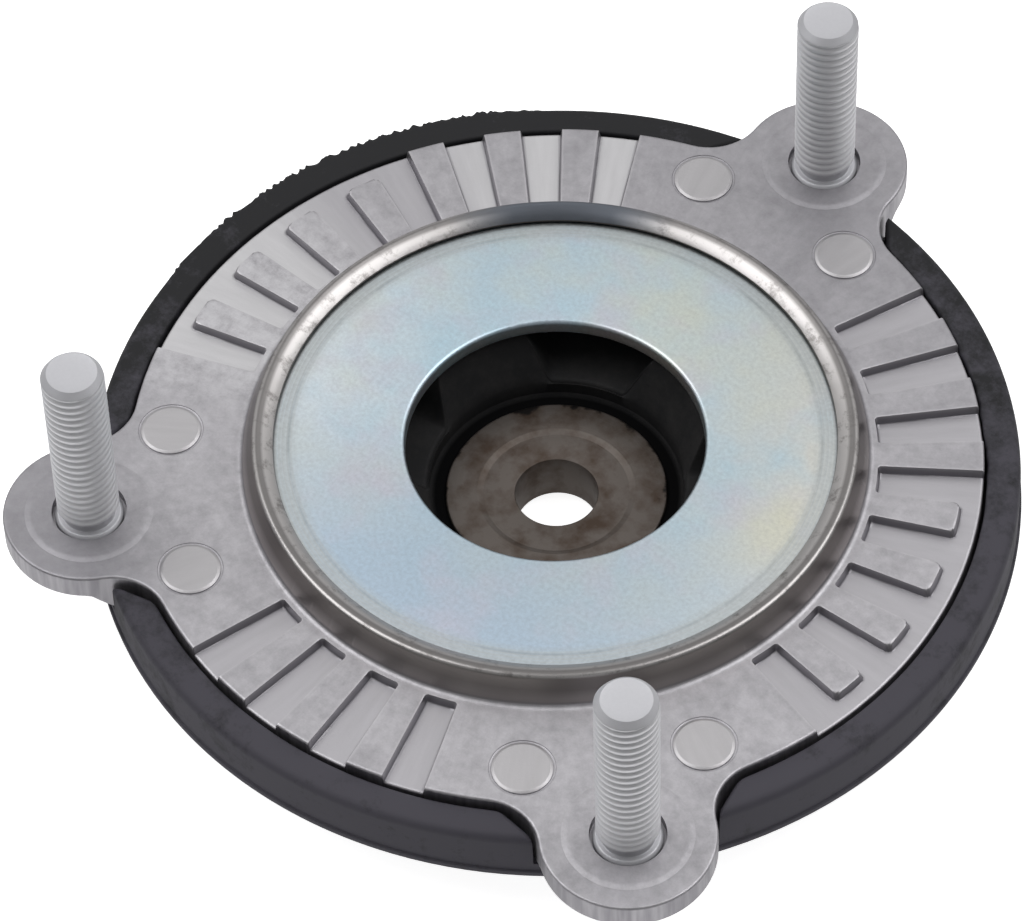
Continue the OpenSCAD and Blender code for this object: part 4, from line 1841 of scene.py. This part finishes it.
    def build(self) -> bpy.types.Object:
        """Makes the ring as a turned section held below the notches' floors.

        The flash widens the section near its outer top edge, and the lap narrows it near its inner one.

        Returns:
            The piece.
        """
        angle = self.columns()
        top, bead_top = self.reach.high, self.foot_z + self.bead_h
        profile = rounded(
            [
                (self.reach.radius, self.foot_z, 0.25),
                (self.reach.radius, bead_top, 0.3),
                (self.rim_r, bead_top, 0.15),
                (self.rim_r, top, self.rim_round),
                (self.rim_inner_r, top, 0.5),
                (self.rim_inner_r, self.flange_z, 0.0),
                (self.bore_r, self.flange_z, 0.0),
                (self.bore_r, self.reach.low, 0.5),
                (self.bore_r + self.collar_t, self.reach.low, 0.8),
                (self.bore_r + self.collar_t, self.seat_z, 0.6),
                (self.seat_outer_r, self.seat_z, 1.5),
                (self.rim_r, self.foot_z, 0.0),
            ],
            steps=5,
        )
        radius, level = profile[:, :1], profile[:, 1:]
        lip = np.hypot(radius - self.rim_r, level - top) / self.rim_round
        edge = 1.0 - smooth_step(*self.flash_zone, lip)
        inner = 1.0 - smooth_step(*self.lap_zone, np.hypot(radius - self.rim_inner_r, level - top))
        points = polar(
            radius + edge * self.flash(angle) - inner * self.lap(angle),
            self.warp(angle, radius),
            np.minimum(level, self.ceiling(angle)),
        )
        return make_object("isolator_moulded", [Skin(points)])

    def dress(self, piece: bpy.types.Object, finish: MouldedRubber) -> None:
        """Gives the isolator its finish."""
        hand_over(piece, "spring_isolator", finish.material())


@dataclass
class Studio:
    """Pale floor, two softboxes, a dim room and the camera at the photograph's view.

    The table's ramps run over metres from the part, the room's over the cosine of the direction away
    from the camera and upwards. The softboxes' side, back and up give the direction that they hang in.
    """

    floor_z: float
    floor_half_m: float = 20.0
    floor_glow: float = 0.88
    table_glow: Ramp = Ramp(0.12, 0.45, 0.35, 0.0)
    table_albedo: Ramp = Ramp(0.12, 0.45, 0.8, 0.05)
    paper_roughness: float = 0.9
    paper_shine: float = 0.1
    camera_mm: tuple[float, float, float] = (360.5, -466.1, 763.3)
    heading_deg: float = 38.40
    pitch_deg: float = 52.015
    roll_deg: float = 2.068
    focal_px: float = 5975.0
    image_w_px: float = 1024.0
    sensor_mm: float = 36.0
    clip_m: float = 0.01
    box_side: float = 0.54
    box_back: float = 0.08
    box_up: float = 0.84
    box_distance_m: float = 1.3
    box_size_m: float = 0.9
    box_power_w: float = 5.8
    room_depth: Ramp = Ramp(0.0, 0.6, 0.24, 0.72)
    room_height: Ramp = Ramp(0.0, 0.5, 0.6, 1.0)
    white: tuple[float, float, float, float] = (1.0, 1.0, 1.0, 1.0)

    def view_side(self) -> tuple[Vector, Vector]:
        """Level directions to the right of the view and away from the camera."""
        turn = math.radians(self.heading_deg)
        return Vector((math.cos(turn), math.sin(turn), 0.0)), Vector((-math.sin(turn), math.cos(turn), 0.0))

    def lay_floor(self) -> None:
        """Lays a pale floor that stays white to the eye, but lights the part only from near by.

        The part then sees a white table in a dim room, as in a studio, instead of a glowing plain.
        """
        half = self.floor_half_m / MM
        corner = np.array([-half, half])
        points = np.dstack([*np.meshgrid(corner, corner), np.full((2, 2), self.floor_z)])
        floor = make_object("studio_floor", [Skin(points, False, False)])
        material, tree = start_material("white_paper_sweep")
        place = add_node(tree, "TexCoord").outputs["Object"]
        away = add_node(tree, "VectorMath", {0: place}, operation="LENGTH").outputs["Value"]
        bounce = add_node(tree, "MapRange", self.table_glow.inputs(away)).outputs[0]
        paper = add_node(tree, "MapRange", self.table_albedo.inputs(away)).outputs[0]
        seen = add_node(tree, "LightPath").outputs["Is Camera Ray"]
        glow = add_node(tree, "Mix", {0: seen, 2: bounce, 3: self.floor_glow}).outputs[0]
        end_material(
            tree,
            {
                "Base Color": paper,
                "Emission Color": self.white,
                "Emission Strength": glow,
                "Roughness": self.paper_roughness,
                "Specular IOR Level": self.paper_shine,
            },
        )
        floor.data.materials.append(material)

    def hang_lights(self) -> None:
        """Hangs a square softbox over each side of the part, facing it."""
        right, away = self.view_side()
        for name, side in (("left_softbox", -1.0), ("right_softbox", 1.0)):
            light = bpy.data.lights.new(name, "AREA")
            light.shape = "SQUARE"
            light.size = self.box_size_m
            light.energy = self.box_power_w
            lamp = bpy.data.objects.new(name, light)
            aim = right * (side * self.box_side) + away * self.box_back + Vector((0.0, 0.0, self.box_up))
            lamp.location = aim * self.box_distance_m
            lamp.rotation_euler = aim.to_track_quat("Z", "Y").to_euler()
            bpy.context.scene.collection.objects.link(lamp)

    def light_room(self) -> None:
        """Lights the room from behind the part, darker behind the camera and towards the horizon."""
        world = bpy.data.worlds.new("studio_room")
        world.use_nodes = True
        tree = world.node_tree
        tree.nodes.clear()
        look = add_node(tree, "TexCoord").outputs["Generated"]
        up = add_node(tree, "SeparateXYZ", {0: look}).outputs["Z"]
        back = add_node(tree, "VectorMath", {0: look, 1: self.view_side()[1]}, operation="DOT_PRODUCT")
        glow, rise = (
            add_node(tree, "MapRange", ramp.inputs(way), interpolation_type="SMOOTHSTEP").outputs[0]
            for ramp, way in ((self.room_depth, back.outputs["Value"]), (self.room_height, up))
        )
        level = add_node(tree, "Math", {0: glow, 1: rise}, operation="MULTIPLY").outputs[0]
        sky = add_node(tree, "Background", {"Color": self.white, "Strength": level})
        add_node(tree, "OutputWorld", {"Surface": sky.outputs[0]})
        bpy.context.scene.world = world

    def set_camera(self) -> None:
        """Stands the camera where the photograph was taken from."""
        data = bpy.data.cameras.new("photo_view")
        data.sensor_width = self.sensor_mm
        data.sensor_fit = "HORIZONTAL"
        data.lens = self.focal_px / self.image_w_px * self.sensor_mm
        data.clip_start = self.clip_m
        camera = bpy.data.objects.new("photo_view", data)
        camera.matrix_world = (
            Matrix.Translation(Vector(self.camera_mm) * MM)
            @ Matrix.Rotation(math.radians(self.heading_deg), 4, "Z")
            @ Matrix.Rotation(math.radians(90.0 - self.pitch_deg), 4, "X")
            @ Matrix.Rotation(math.radians(-self.roll_deg), 4, "Z")
        )
        bpy.context.scene.collection.objects.link(camera)
        bpy.context.scene.camera = camera

    def build(self) -> None:
        """Sets up the floor, the lights, the room and the camera."""
        self.lay_floor()
        self.hang_lights()
        self.light_room()
        self.set_camera()
        bpy.context.scene.view_settings.view_transform = "Standard"


def main() -> None:
    """Builds and dresses every piece of the mount, then the studio round it."""
    logging.basicConfig(level=logging.INFO, format="%(name)s: %(message)s")
    studs = StudPlaces.from_record()
    casting, plate = Reach.of("housing"), Reach.of("cover_plate")
    bushing = Reach.of("bushing_rubber")
    lug = LugOutline(studs.circle_r, casting.radius)
    housing = CastHousing(studs, lug, casting, plate, bushing)
    housing.dress(housing.build(), CastAluminium())
    stud_set = StudSet(studs, Reach.of("mounting_studs"), housing)
    stud_set.dress(stud_set.build(), PlatedStudSteel())
    cover = CoverPlate(plate)
    cover.dress(cover.build(), PassivatedZinc())
    core = RodCore(Reach.of("rod_core"))
    core.dress(core.build(), PhosphatedSteel())
    rubber = BushingRubber(bushing, core)
    inner_finish = MouldedRubber("moulded_bushing_rubber", "#29292A", "#343333", roughness=0.6, shine=0.1)
    rubber.dress(rubber.build(), inner_finish)
    isolator = SpringIsolator(studs, lug, Reach.of("spring_isolator"), housing.bottom_z)
    outer_finish = MouldedRubber("moulded_isolator_rubber", "#1A1A1D", "#45434B", roughness=0.68, shine=0.35)
    isolator.dress(isolator.build(), outer_finish)
    Studio(casting.low).build()


if __name__ == "__main__":
    main()
